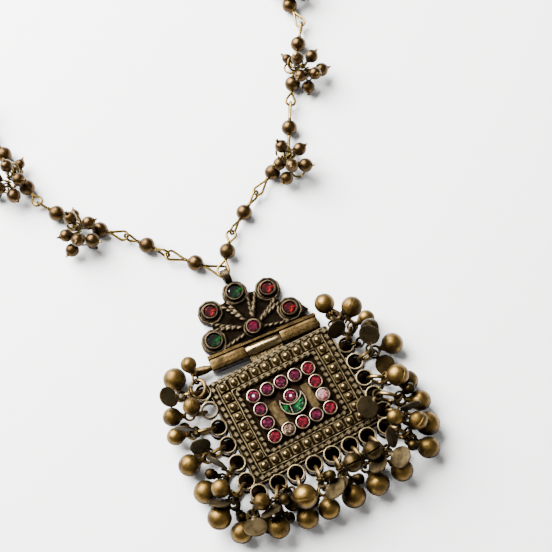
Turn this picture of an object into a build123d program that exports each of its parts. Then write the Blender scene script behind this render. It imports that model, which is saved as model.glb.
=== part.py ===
from build123d import *
import os
from math import asin, cos, hypot, radians, sin

# Kuchi tribal necklace, lying on a surface, in millimetres.
# The origin is on the surface under the middle of the stone ring of the square plate.
# X runs along the bead rows of the plate, Y from its foot to the hinge and the crest, Z up.
os.makedirs("parts", exist_ok=True)

# Square plate
plate_side = 17.1          # from the middle to the left and right edges
plate_head = 13.85         # from the middle to the edge beside the hinge
plate_foot = 14.45         # from the middle to the lower edge
plate_thick = 2.8
plate_round = 0.6
grain_side = 13.3          # from the middle to the side rows of large grains
grain_head = 11.35
grain_foot = 10.85
grains_along = 10
grains_up = 9
grain_radius = 0.95
grain_base = 1.3
grain_base_high = 0.55
field_gap = 2.8            # from a grain row to the edge of the sunk field
field_deep = 0.5
# wires round the plate, smooth ones and fine bead rows, inside and outside the large grains:
# their gaps from the grain rows at the sides, the head and the foot, and their radius
rails = [
    (-1.5, -1.5, -1.5, 0.38),
    (-2.3, -2.3, -2.3, 0.45),
    (1.6, 1.25, 1.7, 0.38),
    (2.75, 2.0, 2.9, 0.45),
]

# Stones of the plate, each in a collar of its own
stone_pitch = 3.85
stones_along = 5
stones_up = 4
collet_outer = 1.86
collet_wall = 0.26
collet_high = 1.55
collet_lip = 0.14          # how far the collar's rim leans in over the stone
stone_play = 0.08          # clearance round and under a set stone
stone_sides = 12
stone_below = 0.55         # pavilion, girdle and crown heights of a plate stone
stone_girdle = 0.3
stone_crown = 0.75
table_share = 0.62         # table radius over girdle radius
culet_share = 0.55

# Crescent and the ruby in its hollow
ruby_place = (0.45, 1.5)
crescent_place = (0.25, -0.1)
crescent_radius = 3.35
crescent_hollow_place = (0.3, 2.6)
crescent_hollow = 3.0
crescent_wall = 0.28
crescent_split = -0.95     # where the thin wall divides the two green stones
crescent_high = 1.5
green_bevel = 0.35

# Hinge between the crest and the plate; its line is a little askew to the plate
hinge_place = (1.15, 16.8)
hinge_askew = -4.3
hinge_high = 1.8
knuckle_radius = 1.7
knuckle_left = -14.6
knuckle_right = 14.7
knuckle_mid_left = -5.0
knuckle_mid_right = 4.5
knuckle_gap = 0.2
pin_radius = 0.8
pin_fit = 0.06
pin_out = 4.8              # the pin's bent end, past the left knuckle
pin_straight_out = 0.5
pin_bend = 8.0
tab_thick = 1.4            # leaves that carry the knuckles
tab_low = 0.9
tab_bury = 0.7

# Crest, in the hinge's own frame: x along the hinge, y away from the plate
crest_thick = 1.6
crest_foot = 2.3
crest_half = 14.3
crest_hub = (-0.75, 5.55)
lobe_radius = 3.3
lobe_rim = 0.34
crest_bar = 0.55
hub_collet = 2.5
hub_stone = 1.6
petal_collet = 2.4
petal_collet_high = 1.45
petal_lip = 0.16
red_stone = 1.72
green_stone = 1.98
ridge_radius = 0.42
ridge_start = 2.7
ridge_spread = 2.85        # half width of a petal's wedge at its outer end
ridge_start_spread = 0.95
ridge_short = 1.7
crest_tip = (13.4, 5.6)    # the bent point beside the right petal
# angle round the hub, reach from the hub, stone
petals = [
    (177, 10.6, "green"),
    (136, 11.8, "red"),
    (94, 10.7, "green"),
    (48, 11.0, "red"),
    (5, 10.45, "red"),
]
bail_reach = 15.6          # from the hub to the middle of the bail
bail_radius = 1.62
bail_thick = 0.56
bail_wide = 1.9
bail_high = 2.62

# Chain of wired beads
bead_radius = 2.15
bead_play = 0.14           # clearance between a drilled bead and its wire
chain_wire = 0.33
link_eye = 1.25            # radius of an eye, to the middle of its wire
end_eye = 1.5
link_gap = 0.2
twist_radius = 0.4         # the turns that close an eye beside its bead
twist_out = 0.5
link_sway = 14             # degrees that links roll, more or less, from flat or upright
sway_step = 5              # radians from one link's sway to the next
surface_gap = 0.03
cut_over = 1.0             # how far a cut runs past what it cuts
end_step = 0.43            # the two end eyes lie one over the other in the bail
# joints between links, from the bail outwards
route_right = [(7.9, 48.5), (18.8, 55.5), (31.9, 62.2), (39.2, 74.9), (46.2, 85.4), (53.8, 95.7),
               (53.9, 110.1)]
route_left = [(-9.6, 50.8), (-17.0, 60.7), (-27.5, 70.5), (-33.3, 80.4), (-35.3, 92.0), (-36.4, 104.5)]
# the plain way round behind the neck
route_back = [(66, 150), (74, 200), (62, 255), (8, 292), (-46, 255), (-60, 200), (-52, 150)]
links_back = 34

# Bunches of small drops on the chain
bunch_ring = 2.3
bunch_wire = 0.24
drop_eye = 0.95
drop_wire = 0.24
drop_stem = 0.5
drop_stub = 0.75
wire_clear = 0.12
# angle round the bunch ring, lean to the side, ball radius
drops = [
    (4, 54, 1.8),
    (26, -54, 1.9),
    (48, 10, 1.75),
    (69, 72, 1.7),
    (93, -66, 1.8),
    (114, 15, 1.75),
]
# node, side of the chain, joint, turn round the eye that carries it
bunches = [
    ("bunch_right_low", "right", 3, -122),
    ("bunch_right_mid", "right", 5, -122),
    ("bunch_left_low", "left", 3, 122),
    ("bunch_left_mid", "left", 5, 122),
    ("bunch_right_top", "right", 7, -118),
    ("bunch_left_top", "left", 7, 122),
]

# Fringe of loops, rings, bells and discs round the plate
loop_radius = 1.9
loop_wire = 0.35
loop_high = 2.5
ring_wire = 0.42
bell_eye = 1.2
bell_eye_wire = 0.3
bell_collar = 0.85
bell_collar_radius = 0.8
bell_slit = 0.3
slit_share = 0.35          # where the slit starts, as a share of the ball's radius
disc_thick = 0.5
disc_tab = 0.25
tab_wide = 1.2
# name, x, y
loops = [
    ("L1", -18.3, 12.6),
    ("L2", -18.9, 7.8),
    ("L3", -18.9, 2.8),
    ("L4", -18.9, -2.2),
    ("L5", -18.9, -7.3),
    ("L6", -18.9, -12.3),
    ("B1", -17.6, -16.3),
    ("B2", -12.4, -16.3),
    ("B3", -7.4, -16.3),
    ("B4", -2.5, -16.3),
    ("B5", 2.5, -16.3),
    ("B6", 7.4, -16.3),
    ("B7", 12.3, -16.3),
    ("B8", 17.5, -16.3),
    ("R1", 18.9, 6.7),
    ("R2", 18.9, 1.8),
    ("R3", 18.9, -3.0),
    ("R4", 18.9, -7.8),
    ("R5", 18.9, -12.4),
]
# name, what it hangs on, kind, angle round that, lean to the side, radius, turn about its own stem
fringe = [
    ("ring_L1", "L1", "ring", 165, 0, 2.3, 0),
    ("A", "ring_L1", "slit bell", 2, 82, 2.85, 0),
    ("C", "ring_L1", "bell", 88, -62, 2.2, 0),
    ("D1", "ring_L1", "disc", 40, -5, 2.7, 90),
    ("ring_L1_far", "ring_L1", "ring", 150, 78, 2.2, 0),
    ("A2", "ring_L1_far", "bell", 12, 28, 2.0, 0),
    ("ring_L2", "L2", "ring", 165, 0, 1.9, 20),
    ("B", "ring_L2", "bell", 3, 8, 2.3, 0),
    ("ring_L3", "L3", "ring", 166, 0, 2.7, 10),
    ("D", "ring_L3", "bell", 1, 5, 2.15, 0),
    ("D2", "ring_L3", "disc", 50, 15, 2.6, 10),
    ("ring_L4", "L4", "ring", 186, 0, 2.3, 0),
    ("E", "ring_L4", "slit bell", 3, 12, 2.7, 0),
    ("D3", "ring_L4", "disc", 62, 30, 2.6, 0),
    ("ring_L5", "L5", "ring", 206, 0, 2.2, 0),
    ("F", "ring_L5", "bell", 4, 22, 2.9, 0),
    ("D4", "ring_L5", "disc", 85, 40, 2.9, 80),
    ("ring_L6", "L6", "ring", 212, 0, 2.7, 0),
    ("G", "ring_L6", "bell", 15, 8, 2.9, 0),
    ("D5", "ring_L6", "disc", 42, 28, 2.7, 60),
    ("G2", "ring_L6", "bell", 70, 50, 2.3, 0),
    ("ring_B1", "B1", "ring", 226, 0, 2.3, 0),
    ("H2", "ring_B1", "bell", 3, 15, 2.6, 0),
    ("D6", "ring_B1", "disc", 34, -24, 2.9, 80),
    ("H3", "ring_B1", "bell", 92, -25, 2.1, 0),
    ("ring_B2", "B2", "ring", 238, 0, 2.7, 0),
    ("H", "ring_B2", "slit bell", 14, -12, 2.7, 0),
    ("D7", "ring_B2", "disc", 50, 12, 2.7, 60),
    ("ring_B3", "B3", "ring", 256, 0, 2.6, 0),
    ("J", "ring_B3", "slit bell", 3, 0, 2.7, 0),
    ("I", "ring_B3", "bell", 60, -5, 2.95, 0),
    ("ring_B4", "B4", "ring", 262, 0, 2.9, 0),
    ("K", "ring_B4", "bell", 3, 5, 2.6, 0),
    ("D8", "ring_B4", "disc", 48, -28, 2.9, 60),
    ("ring_B5", "B5", "ring", 268, 0, 2.7, 0),
    ("L", "ring_B5", "bell", 4, 0, 2.9, 0),
    ("D14", "ring_B5", "disc", 40, 30, 2.6, 60),
    ("ring_B6", "B6", "ring", 276, 0, 2.8, 0),
    ("M", "ring_B6", "slit bell", 4, 0, 2.85, 0),
    ("D15", "ring_B6", "disc", 45, -30, 2.6, 70),
    ("ring_B7", "B7", "ring", 285, 0, 3.0, 0),
    ("S", "ring_B7", "bell", 3, 0, 2.7, 0),
    ("D11", "ring_B7", "disc", 36, -15, 2.8, 70),
    ("ring_B8", "B8", "ring", 304, 0, 2.8, 0),
    ("O", "ring_B8", "bell", 3, 0, 2.7, 0),
    ("S2", "ring_B8", "bell", 60, -50, 2.3, 0),
    ("D16", "ring_B8", "disc", 98, 52, 2.5, 50),
    ("ring_R1", "R1", "ring", 46, 0, 2.2, 0),
    ("V", "ring_R1", "bell", 1, 42, 2.1, 0),
    ("D12", "ring_R1", "disc", 103.5, -42.8, 2.6, 26),
    ("ring_R1_far", "ring_R1", "ring", 63.9, -76.6, 2.8, 0),
    ("U", "ring_R1_far", "bell", 84, -6, 2.6, 0),
    ("T", "ring_R1_far", "bell", 19, 25, 2.55, 0),
    ("ring_R2", "R2", "ring", 4, 0, 2.3, 0),
    ("W", "ring_R2", "slit bell", 3, 10, 2.7, 0),
    ("D13", "ring_R2", "disc", 62, -40, 2.7, 60),
    ("ring_R3", "R3", "ring", 328, 0, 2.4, 0),
    ("R", "ring_R3", "bell", 3, 0, 2.6, 0),
    ("Q", "ring_R3", "bell", 52, 5, 2.75, 0),
    ("ring_R4", "R4", "ring", 320, 0, 2.8, 0),
    ("P", "ring_R4", "bell", 3, -8, 2.6, 0),
    ("D9", "ring_R4", "disc", 158, 62, 2.85, 88),
    ("ring_R5", "R5", "ring", 314, 0, 2.6, 0),
    ("N", "ring_R5", "slit bell", 4, 0, 2.95, 0),
    ("D10", "ring_R5", "disc", 66, -18, 2.6, -34),
    ("P2", "ring_R5", "bell", 90, 35, 2.1, 0),
]
ring_pull = 0.9            # how far each ring is drawn out in what carries it


def hung(carrier, at, side, radius, wire, turn=0.0):
    """A wire circle hung in another one, drawn out from it: its plane, radius and wire radius."""
    plane, carrier_radius, carrier_wire = carrier
    at, side, turn = radians(at), radians(side), radians(turn)
    out = plane.x_dir * cos(at) + plane.y_dir * sin(at)
    along = plane.y_dir * cos(at) - plane.x_dir * sin(at)
    stem = out * cos(side) + plane.z_dir * sin(side)
    over = (plane.z_dir * cos(side) - out * sin(side)) * cos(turn) + along * sin(turn)
    room = radius - carrier_wire - wire - wire_clear
    middle = plane.origin + out * carrier_radius + stem * (ring_pull * room)
    return Plane(origin=middle, x_dir=stem, z_dir=stem.cross(over)), radius, wire


def lifted(circle):
    """The same circle, high enough to clear the surface when it stands upright."""
    plane, radius, wire = circle
    rise = max(0.0, radius + wire + surface_gap - plane.origin.Z)
    return Plane(origin=plane.origin + Vector(0, 0, rise), x_dir=plane.x_dir, z_dir=plane.z_dir), radius, wire


def wire_ring(radius, wire):
    with BuildPart() as ring:
        Torus(radius, wire)
    return ring.part


def collet(outer, inner, high, lip, girdle_top):
    """The collar of a set stone, its rim leaning in over the girdle."""
    with BuildPart() as collar:
        with BuildSketch(Plane.XZ):
            with BuildLine():
                Polyline((inner, 0), (outer, 0), (outer, high - lip), (outer - lip, high),
                         (inner - lip, high),
                         (inner, girdle_top), close=True)
            make_face()
        revolve(axis=Axis.Z)
    return collar.part


def cut_stone(radius):
    """A round stone with a table, a ring of crown facets, a girdle and a blunt pavilion."""
    crown_at = stone_below + stone_girdle
    steps = [(0, radius * culet_share), (stone_below, radius), (crown_at, radius),
             (crown_at + stone_crown, radius * table_share)]
    with BuildPart() as stone:
        for height, reach in steps:
            with BuildSketch(Plane.XY.offset(height)):
                RegularPolygon(reach, stone_sides)
        loft(ruled=True)
    return stone.part


def ball_drop(radius, eye, eye_wire, stem, stem_radius, slit=False, stub=0.0):
    """A ball on a stem below a wire eye; the eye lies about the origin and the stem runs along X."""
    middle = eye + stem + radius
    shoulder = radius * cos(asin(stem_radius / radius))
    with BuildPart() as drop:
        with BuildSketch():
            with BuildLine():
                Polyline((middle - shoulder, stem_radius), (eye, stem_radius), (eye, 0))
                if stub:
                    end = middle + radius + stub
                    ThreePointArc((middle - shoulder, stem_radius), (middle, radius),
                                  (middle + shoulder, stem_radius))
                    Polyline((middle + shoulder, stem_radius), (end, stem_radius), (end, 0), (eye, 0))
                else:
                    ThreePointArc((middle - shoulder, stem_radius), (middle, radius), (middle + radius, 0))
                    Line((middle + radius, 0), (eye, 0))
            make_face()
        revolve(axis=Axis.X)
        Torus(eye, eye_wire)
        if slit:
            with Locations((middle + radius * (slit_share + 1), 0, 0)):
                Box(2 * radius, 2 * (radius + cut_over), bell_slit, mode=Mode.SUBTRACT)
    return drop.part


def disc_drop(radius, turn):
    """A flat disc on a folded tab below a wire eye."""
    reach = bell_eye + disc_tab + radius
    with BuildPart() as disc:
        Torus(bell_eye, bell_eye_wire)
        with Locations(Location((reach, 0, 0), (90 - turn, 0, 0))):
            Cylinder(radius, disc_thick)
        with Locations(Location((bell_eye + tab_wide / 2, 0, 0), (90 - turn, 0, 0))):
            Box(tab_wide, tab_wide, disc_thick)
    return disc.part


def rectangle_rail(side_gap, head_gap, foot_gap, radius):
    """A wire on the plate, parallel to the rows of large grains."""
    side, head, foot = grain_side + side_gap, grain_head + head_gap, grain_foot + foot_gap
    with BuildPart() as rail:
        with BuildLine() as path:
            Polyline((0, head, plate_thick), (side, head, plate_thick), (side, -foot, plate_thick),
                     (-side, -foot, plate_thick), (-side, head, plate_thick), (0, head, plate_thick))
        with BuildSketch(Plane(origin=(0, head, plate_thick), z_dir=(1, 0, 0))):
            Circle(radius)
        sweep(path=path.wires()[0], transition=Transition.RIGHT)
    return rail.part


# Plate: slab, sunk field, wires, large grains, collars, crescent, edge loops and its hinge knuckle
hinge = Plane(origin=(*hinge_place, hinge_high),
              x_dir=(cos(radians(hinge_askew)), sin(radians(hinge_askew)), 0))
hinge_on_surface = Plane(origin=(*hinge_place, 0), x_dir=hinge.x_dir)
field_top = plate_thick - field_deep
plate_middle = (plate_head - plate_foot) / 2
girdle_top = stone_play + stone_below + stone_girdle
collet_inner = collet_outer - collet_wall

grain_spots = []
for i in range(grains_along):
    x = grain_side * (2 * i / (grains_along - 1) - 1)
    grain_spots += [(x, grain_head), (x, -grain_foot)]
for i in range(1, grains_up - 1):
    y = grain_head - (grain_head + grain_foot) * i / (grains_up - 1)
    grain_spots += [(-grain_side, y), (grain_side, y)]

stone_spots = []
for i in range(stones_along):
    for j in range(stones_up):
        if i in (0, stones_along - 1) or j in (0, stones_up - 1):
            stone_spots.append(((i - (stones_along - 1) / 2) * stone_pitch,
                                (j - (stones_up - 1) / 2) * stone_pitch))

with BuildSketch() as crescent_outline:
    with Locations(crescent_place):
        Circle(crescent_radius)
    with Locations(crescent_hollow_place):
        Circle(crescent_hollow, mode=Mode.SUBTRACT)


def crescent_field(inset):
    """The two open fields inside the crescent's wall, left one first."""
    with BuildSketch() as field:
        with Locations(crescent_place):
            Circle(crescent_radius - inset)
        with Locations(crescent_hollow_place):
            Circle(crescent_hollow + inset, mode=Mode.SUBTRACT)
        with Locations((crescent_split, crescent_place[1])):
            Rectangle(2 * inset, 2 * (crescent_radius + cut_over), mode=Mode.SUBTRACT)
    return field.sketch.faces().sort_by(Axis.X)


collar = collet(collet_outer, collet_inner, collet_high, collet_lip, girdle_top)
collars = [Pos(x, y, field_top) * collar for x, y in stone_spots + [ruby_place]]
plate_wires = [rectangle_rail(*rail) for rail in rails]
crescent_openings = crescent_field(crescent_wall)
field_head, field_foot = grain_head - field_gap, grain_foot - field_gap

with BuildPart() as plate:
    with BuildSketch():
        with Locations((0, plate_middle)):
            RectangleRounded(2 * plate_side, plate_head + plate_foot, plate_round)
    extrude(amount=plate_thick)
    with BuildSketch(Plane.XY.offset(plate_thick)):
        with Locations((0, (field_head - field_foot) / 2)):
            Rectangle(2 * (grain_side - field_gap), field_head + field_foot)
    extrude(amount=-field_deep, mode=Mode.SUBTRACT)
    add(plate_wires)
    with Locations(*[(x, y, plate_thick + grain_base_high / 2) for x, y in grain_spots]):
        Cone(grain_base, grain_radius / 2, grain_base_high)
    with Locations(*[(x, y, plate_thick + grain_base_high / 2) for x, y in grain_spots]):
        Sphere(grain_radius)
    add(collars)
    with BuildSketch(Plane.XY.offset(field_top)):
        add(crescent_outline.sketch)
        add(crescent_openings, mode=Mode.SUBTRACT)
    extrude(amount=crescent_high)
    with Locations(*[(x, y, loop_high) for name, x, y in loops]):
        Torus(loop_radius, loop_wire)
    with BuildSketch(hinge.offset(tab_low - hinge_high)):
        tab_long = hinge_place[1] - plate_head + tab_bury
        with Locations(((knuckle_mid_left + knuckle_mid_right) / 2, -tab_long / 2)):
            Rectangle(knuckle_mid_right - knuckle_mid_left - knuckle_gap, tab_long)
    extrude(amount=tab_thick)
    with BuildSketch(Plane(origin=hinge.origin + hinge.x_dir * (knuckle_mid_left + knuckle_gap / 2),
                           z_dir=hinge.x_dir)):
        Circle(knuckle_radius)
    extrude(amount=knuckle_mid_right - knuckle_mid_left - knuckle_gap)
    with BuildSketch(Plane(origin=hinge.origin + hinge.x_dir * knuckle_left, z_dir=hinge.x_dir)):
        Circle(pin_radius + pin_fit)
    extrude(amount=knuckle_right - knuckle_left, mode=Mode.SUBTRACT)

plate.part.label = "plate"
export_step(plate.part, "parts/plate.step")

plate_stone = cut_stone(collet_inner - stone_play)
for count, (x, y) in enumerate(stone_spots + [ruby_place], start=1):
    stone = Pos(x, y, field_top + stone_play) * plate_stone
    stone.label = f"plate_stone_{count}"
    export_step(stone, f"parts/{stone.label}.step")

for side, face in zip(("left", "right"), crescent_field(crescent_wall + stone_play)):
    with BuildPart() as green:
        with BuildSketch(Plane.XY.offset(field_top + stone_play)):
            add(face)
        extrude(amount=crescent_high)
        chamfer(green.faces().sort_by(Axis.Z)[-1].edges(), green_bevel)
    green.part.label = f"crescent_stone_{side}"
    export_step(green.part, f"parts/{green.part.label}.step")

# Crest: lobed plate with its bar, collars, ridges, bail and the two outer knuckles
hub = Vector(*crest_hub)


def crest_point(angle, reach, aside=0.0):
    """A point of the crest, in the hinge's frame: along a ray from the hub and to the side of it."""
    ray = Vector(cos(radians(angle)), sin(radians(angle)))
    return hub + ray * reach + Vector(-ray.Y, ray.X) * aside


petal_spots = [crest_point(angle, reach) for angle, reach, stone in petals]
stone_radius = {"green": green_stone, "red": red_stone}
bail_angle = petals[2][0]
bail_middle = crest_point(bail_angle, bail_reach)
outer_knuckles = [(knuckle_left, knuckle_mid_left - knuckle_gap / 2),
                  (knuckle_mid_right + knuckle_gap / 2, knuckle_right)]
crest_collars = [Pos(p.X, p.Y, crest_thick) * collet(petal_collet, stone_radius[stone] + stone_play,
                                                     petal_collet_high, petal_lip, girdle_top)
                 for p, (angle, reach, stone) in zip(petal_spots, petals)]
crest_collars.append(Pos(hub.X, hub.Y, crest_thick) * collet(hub_collet, hub_stone + stone_play,
                                                             petal_collet_high, petal_lip, girdle_top))
ridges = []
for angle, reach, stone in petals:
    for aside in (-1, 1):
        start = crest_point(angle, ridge_start, aside * ridge_start_spread)
        finish = crest_point(angle, reach - ridge_short, aside * ridge_spread)
        run = finish - start
        place = Plane(origin=(start.X, start.Y, crest_thick), z_dir=run).location
        ridges.append(place * Cylinder(ridge_radius, run.length,
                                       align=(Align.CENTER, Align.CENTER, Align.MIN)))
bail_edge = crest_point(bail_angle, bail_reach, -bail_wide / 2)
bail_back = bail_reach - bail_radius
neck_from = petals[2][1] + petal_collet

with BuildPart() as crest:
    for low, high in outer_knuckles:
        with BuildSketch(Plane(origin=(low, 0, hinge_high), z_dir=(1, 0, 0))):
            Circle(knuckle_radius)
        extrude(amount=high - low)
        with BuildSketch(Plane.XY.offset(tab_low)):
            with Locations(((low + high) / 2, (crest_foot + tab_bury) / 2)):
                Rectangle(high - low, crest_foot + tab_bury)
        extrude(amount=tab_thick)
    with BuildSketch(Plane(origin=(knuckle_left - cut_over, 0, hinge_high), z_dir=(1, 0, 0))):
        Circle(pin_radius + pin_fit)
    extrude(amount=knuckle_right - knuckle_left + 2 * cut_over, mode=Mode.SUBTRACT)
    with BuildSketch():
        with BuildLine():
            Polyline((-crest_half, crest_foot), (crest_half, crest_foot),
                     *[(p.X, p.Y) for p in reversed(petal_spots)], close=True)
        make_face()
        with Locations(*[(p.X, p.Y) for p in petal_spots]):
            Circle(lobe_radius)
        with BuildLine():
            Polyline((petal_spots[-1].X, petal_spots[-1].Y + lobe_radius), crest_tip,
                     (petal_spots[-1].X, petal_spots[-1].Y - lobe_radius), close=True)
        make_face()
    extrude(amount=crest_thick)
    with Locations(*[(p.X, p.Y, crest_thick) for p in petal_spots]):
        Torus(lobe_radius - lobe_rim, lobe_rim)
    with BuildSketch(Plane(origin=(-crest_half, crest_foot + crest_bar, crest_thick), z_dir=(1, 0, 0))):
        Circle(crest_bar)
    extrude(amount=2 * crest_half)
    add(crest_collars)
    add(ridges)
    with BuildSketch(Plane(origin=Vector(hub.X, hub.Y, 0), x_dir=bail_middle - hub)):
        with Locations(((neck_from + bail_back) / 2, 0)):
            Rectangle(bail_back - neck_from, bail_wide)
    extrude(amount=bail_high)
    with BuildSketch(Plane(origin=Vector(bail_edge.X, bail_edge.Y, bail_high),
                           z_dir=(-sin(radians(bail_angle)), cos(radians(bail_angle)), 0))):
        Circle(bail_radius + bail_thick / 2)
        Circle(bail_radius - bail_thick / 2, mode=Mode.SUBTRACT)
    extrude(amount=bail_wide)

crest_placed = hinge_on_surface.location * crest.part
crest_placed.label = "crest"
export_step(crest_placed, "parts/crest.step")

for count, (spot, (angle, reach, stone)) in enumerate(zip(petal_spots, petals), start=1):
    seat = hinge_on_surface.location * Pos(spot.X, spot.Y, crest_thick + stone_play)
    gem = seat * cut_stone(stone_radius[stone])
    gem.label = f"petal_stone_{count}"
    export_step(gem, f"parts/{gem.label}.step")
gem = hinge_on_surface.location * Pos(hub.X, hub.Y, crest_thick + stone_play) * cut_stone(hub_stone)
gem.label = "crest_stone"
export_step(gem, "parts/crest_stone.step")

with BuildPart() as pin:
    with BuildLine() as pin_path:
        bend_at = knuckle_left - pin_straight_out
        Polyline((knuckle_right, 0, 0), (bend_at, 0, 0),
                 (bend_at - pin_out * cos(radians(pin_bend)), pin_out * sin(radians(pin_bend)), 0))
    with BuildSketch(Plane(origin=(knuckle_right, 0, 0), z_dir=(-1, 0, 0))):
        Circle(pin_radius)
    sweep(path=pin_path.wires()[0], transition=Transition.RIGHT)
pin_placed = hinge.location * pin.part
pin_placed.label = "hinge_pin"
export_step(pin_placed, "parts/hinge_pin.step")

# Chain: joints right round the loop, from the bail's right strand back to its left one
bead_high = bead_radius + surface_gap
bail_world = hinge_on_surface.location * Location((bail_middle.X, bail_middle.Y, 0))
bail_out = Plane(hinge_on_surface.location * Location((0, 0, 0), (0, 0, bail_angle))).x_dir
bail_wall = bail_world.position + bail_out * bail_radius
with BuildLine() as back:
    behind = Spline(*[route_right[-1]] + route_back + [route_left[-1]],
                    tangents=(Vector(*route_right[-1]) - Vector(*route_right[-2]),
                              Vector(*route_left[-2]) - Vector(*route_left[-1])))
back_joints = [behind.position_at(i / links_back * behind.length, position_mode=PositionMode.LENGTH)
               for i in range(1, links_back)]
print("chain loop, mm:", round(behind.length + sum(
    hypot(b[0] - a[0], b[1] - a[1])
    for run in (route_right, route_left)
    for a, b in zip([(bail_wall.X, bail_wall.Y)] + run, run)), 1))
joints = ([Vector(bail_wall.X, bail_wall.Y, bail_high + end_step)]
          + [Vector(x, y, bead_high) for x, y in route_right]
          + [Vector(p.X, p.Y, bead_high) for p in back_joints]
          + [Vector(x, y, bead_high) for x, y in reversed(route_left)]
          + [Vector(bail_wall.X, bail_wall.Y, bail_high - end_step)])
hook = link_eye - chain_wire - link_gap / 2


def link_frame(count):
    """The plane of a link's eyes: its middle, its run and, by turns, flat or on edge."""
    start, finish = joints[count], joints[count + 1]
    run = (finish - start).normalized()
    up = (Vector(0, 0, 1) - run * run.Z).normalized()
    sway = 0 if count in (0, len(joints) - 2) else link_sway * sin(sway_step * count)
    roll = radians(90 * (count % 2) + sway)
    return Plane(origin=(start + finish) / 2, x_dir=run, z_dir=up * cos(roll) + run.cross(up) * sin(roll))


def eye_centre(count, end):
    """Where the eye's circle of a link lies, from the middle of the link along its run."""
    half = (joints[count + 1] - joints[count]).length / 2
    at_bail = (count == 0 and end < 0) or (count == len(joints) - 2 and end > 0)
    return (half, end_eye) if at_bail else (half - hook, link_eye)


def wire_eye(reach, radius):
    """A teardrop eye, closed by a twist beside the bead; the middle of the link is the origin."""
    apex = bead_radius + twist_out
    tilt = asin(radius / (reach - apex))
    touch = Vector(reach - radius * sin(tilt), radius * cos(tilt))
    halfway = (radians(90) + tilt) / 2
    with BuildPart() as eye:
        with BuildLine() as path:
            Line((apex, 0), (touch.X, touch.Y))
            ThreePointArc((touch.X, touch.Y), (reach + radius * cos(halfway), radius * sin(halfway)),
                          (reach + radius, 0))
        with BuildSketch(Plane(origin=(apex, 0, 0), z_dir=touch - Vector(apex, 0))):
            Circle(chain_wire)
        sweep(path=path.wires()[0])
        mirror(about=Plane.XZ)
        with Locations((apex, 0, 0)):
            Sphere(twist_radius)
        with BuildSketch(Plane.YZ):
            Circle(chain_wire)
        extrude(amount=apex)
    return eye.part


def link_wire(count):
    """One wire with an eye at each end, through a bead."""
    first = Rot(0, 0, 180) * wire_eye(*eye_centre(count, -1))
    second = wire_eye(*eye_centre(count, 1))
    return link_frame(count).location * (first + second)


with BuildPart() as drilled_bead:
    Sphere(bead_radius)
    Cylinder(chain_wire + bead_play, 2 * (bead_radius + cut_over), rotation=(0, 90, 0), mode=Mode.SUBTRACT)

links = range(len(joints) - 1)
chain_wires = Compound(label="chain_wires", children=[link_wire(count) for count in links])
export_step(chain_wires, "parts/chain_wires.step")
chain_beads = Compound(label="chain_beads",
                       children=[link_frame(count).location * drilled_bead.part for count in links])
export_step(chain_beads, "parts/chain_beads.step")

# Bunches of drops, each on a ring through the outer side of a flat eye
drop_shapes = {radius: ball_drop(radius, drop_eye, drop_wire, drop_stem, drop_wire, stub=drop_stub)
               for radius in {radius for at, side, radius in drops}}
for name, strand, joint, at in bunches:
    count = joint - 1 if strand == "right" else len(joints) - 1 - joint
    end = 1 if strand == "right" else -1
    frame = link_frame(count)
    reach, radius = eye_centre(count, end)
    carrier = Plane(origin=frame.origin + frame.x_dir * (end * reach),
                    x_dir=frame.x_dir * end, z_dir=frame.z_dir)
    ring = lifted(hung((carrier, radius, chain_wire), at, 0, bunch_ring, bunch_wire))
    pieces = [ring[0].location * wire_ring(bunch_ring, bunch_wire)]
    for around, side, size in drops:
        pieces.append(hung(ring, around, side, drop_eye, drop_wire)[0].location * drop_shapes[size])
    with BuildPart() as bunch:
        add(pieces)
    bunch.part.label = name
    export_step(bunch.part, f"parts/{name}.step")

# Fringe, one node each for the rings, bells and discs of a side
hung_from = {name: (Plane(origin=(x, y, loop_high)), loop_radius, loop_wire) for name, x, y in loops}
side_names = {"L": "left", "B": "foot", "R": "right"}
side_of = {name: side_names[name[0]] for name, x, y in loops}
pieces = {}
for name, carrier, kind, at, side, size, turn in fringe:
    side_of[name] = side_of[carrier]
    if kind == "ring":
        circle = hung(hung_from[carrier], at, side, size, ring_wire, turn)
        hung_from[name] = lifted(circle) if carrier in [row[0] for row in loops] else circle
        shape = hung_from[name][0].location * wire_ring(size, ring_wire)
        group = "rings"
    else:
        place = hung(hung_from[carrier], at, side, bell_eye, bell_eye_wire)[0].location
        if kind == "disc":
            shape = place * disc_drop(size, turn)
            group = "discs"
        else:
            shape = place * ball_drop(size, bell_eye, bell_eye_wire, bell_collar, bell_collar_radius,
                                      slit=kind == "slit bell")
            group = "bells"
    pieces.setdefault(f"{group}_{side_of[name]}", []).append(shape)
for name, shapes in pieces.items():
    with BuildPart() as group:
        add(shapes)
    group.part.label = name
    export_step(group.part, f"parts/{name}.step")
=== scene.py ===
import math

import bpy
import numpy as np
from mathutils import Matrix, Vector, noise


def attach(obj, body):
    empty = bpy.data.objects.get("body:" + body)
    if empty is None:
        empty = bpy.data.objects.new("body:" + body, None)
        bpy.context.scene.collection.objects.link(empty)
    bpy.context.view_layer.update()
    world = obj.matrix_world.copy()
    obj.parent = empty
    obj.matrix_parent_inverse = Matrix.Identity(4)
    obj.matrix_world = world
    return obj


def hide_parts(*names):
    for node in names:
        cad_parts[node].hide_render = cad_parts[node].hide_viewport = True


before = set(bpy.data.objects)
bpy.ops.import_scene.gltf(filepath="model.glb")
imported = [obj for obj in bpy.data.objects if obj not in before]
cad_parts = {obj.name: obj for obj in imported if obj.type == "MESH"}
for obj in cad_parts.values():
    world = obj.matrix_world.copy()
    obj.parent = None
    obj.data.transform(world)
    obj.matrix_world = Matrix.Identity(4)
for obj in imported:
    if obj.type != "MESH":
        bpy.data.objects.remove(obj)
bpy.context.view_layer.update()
print("frame loaded:", len(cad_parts), "nodes")

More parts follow.
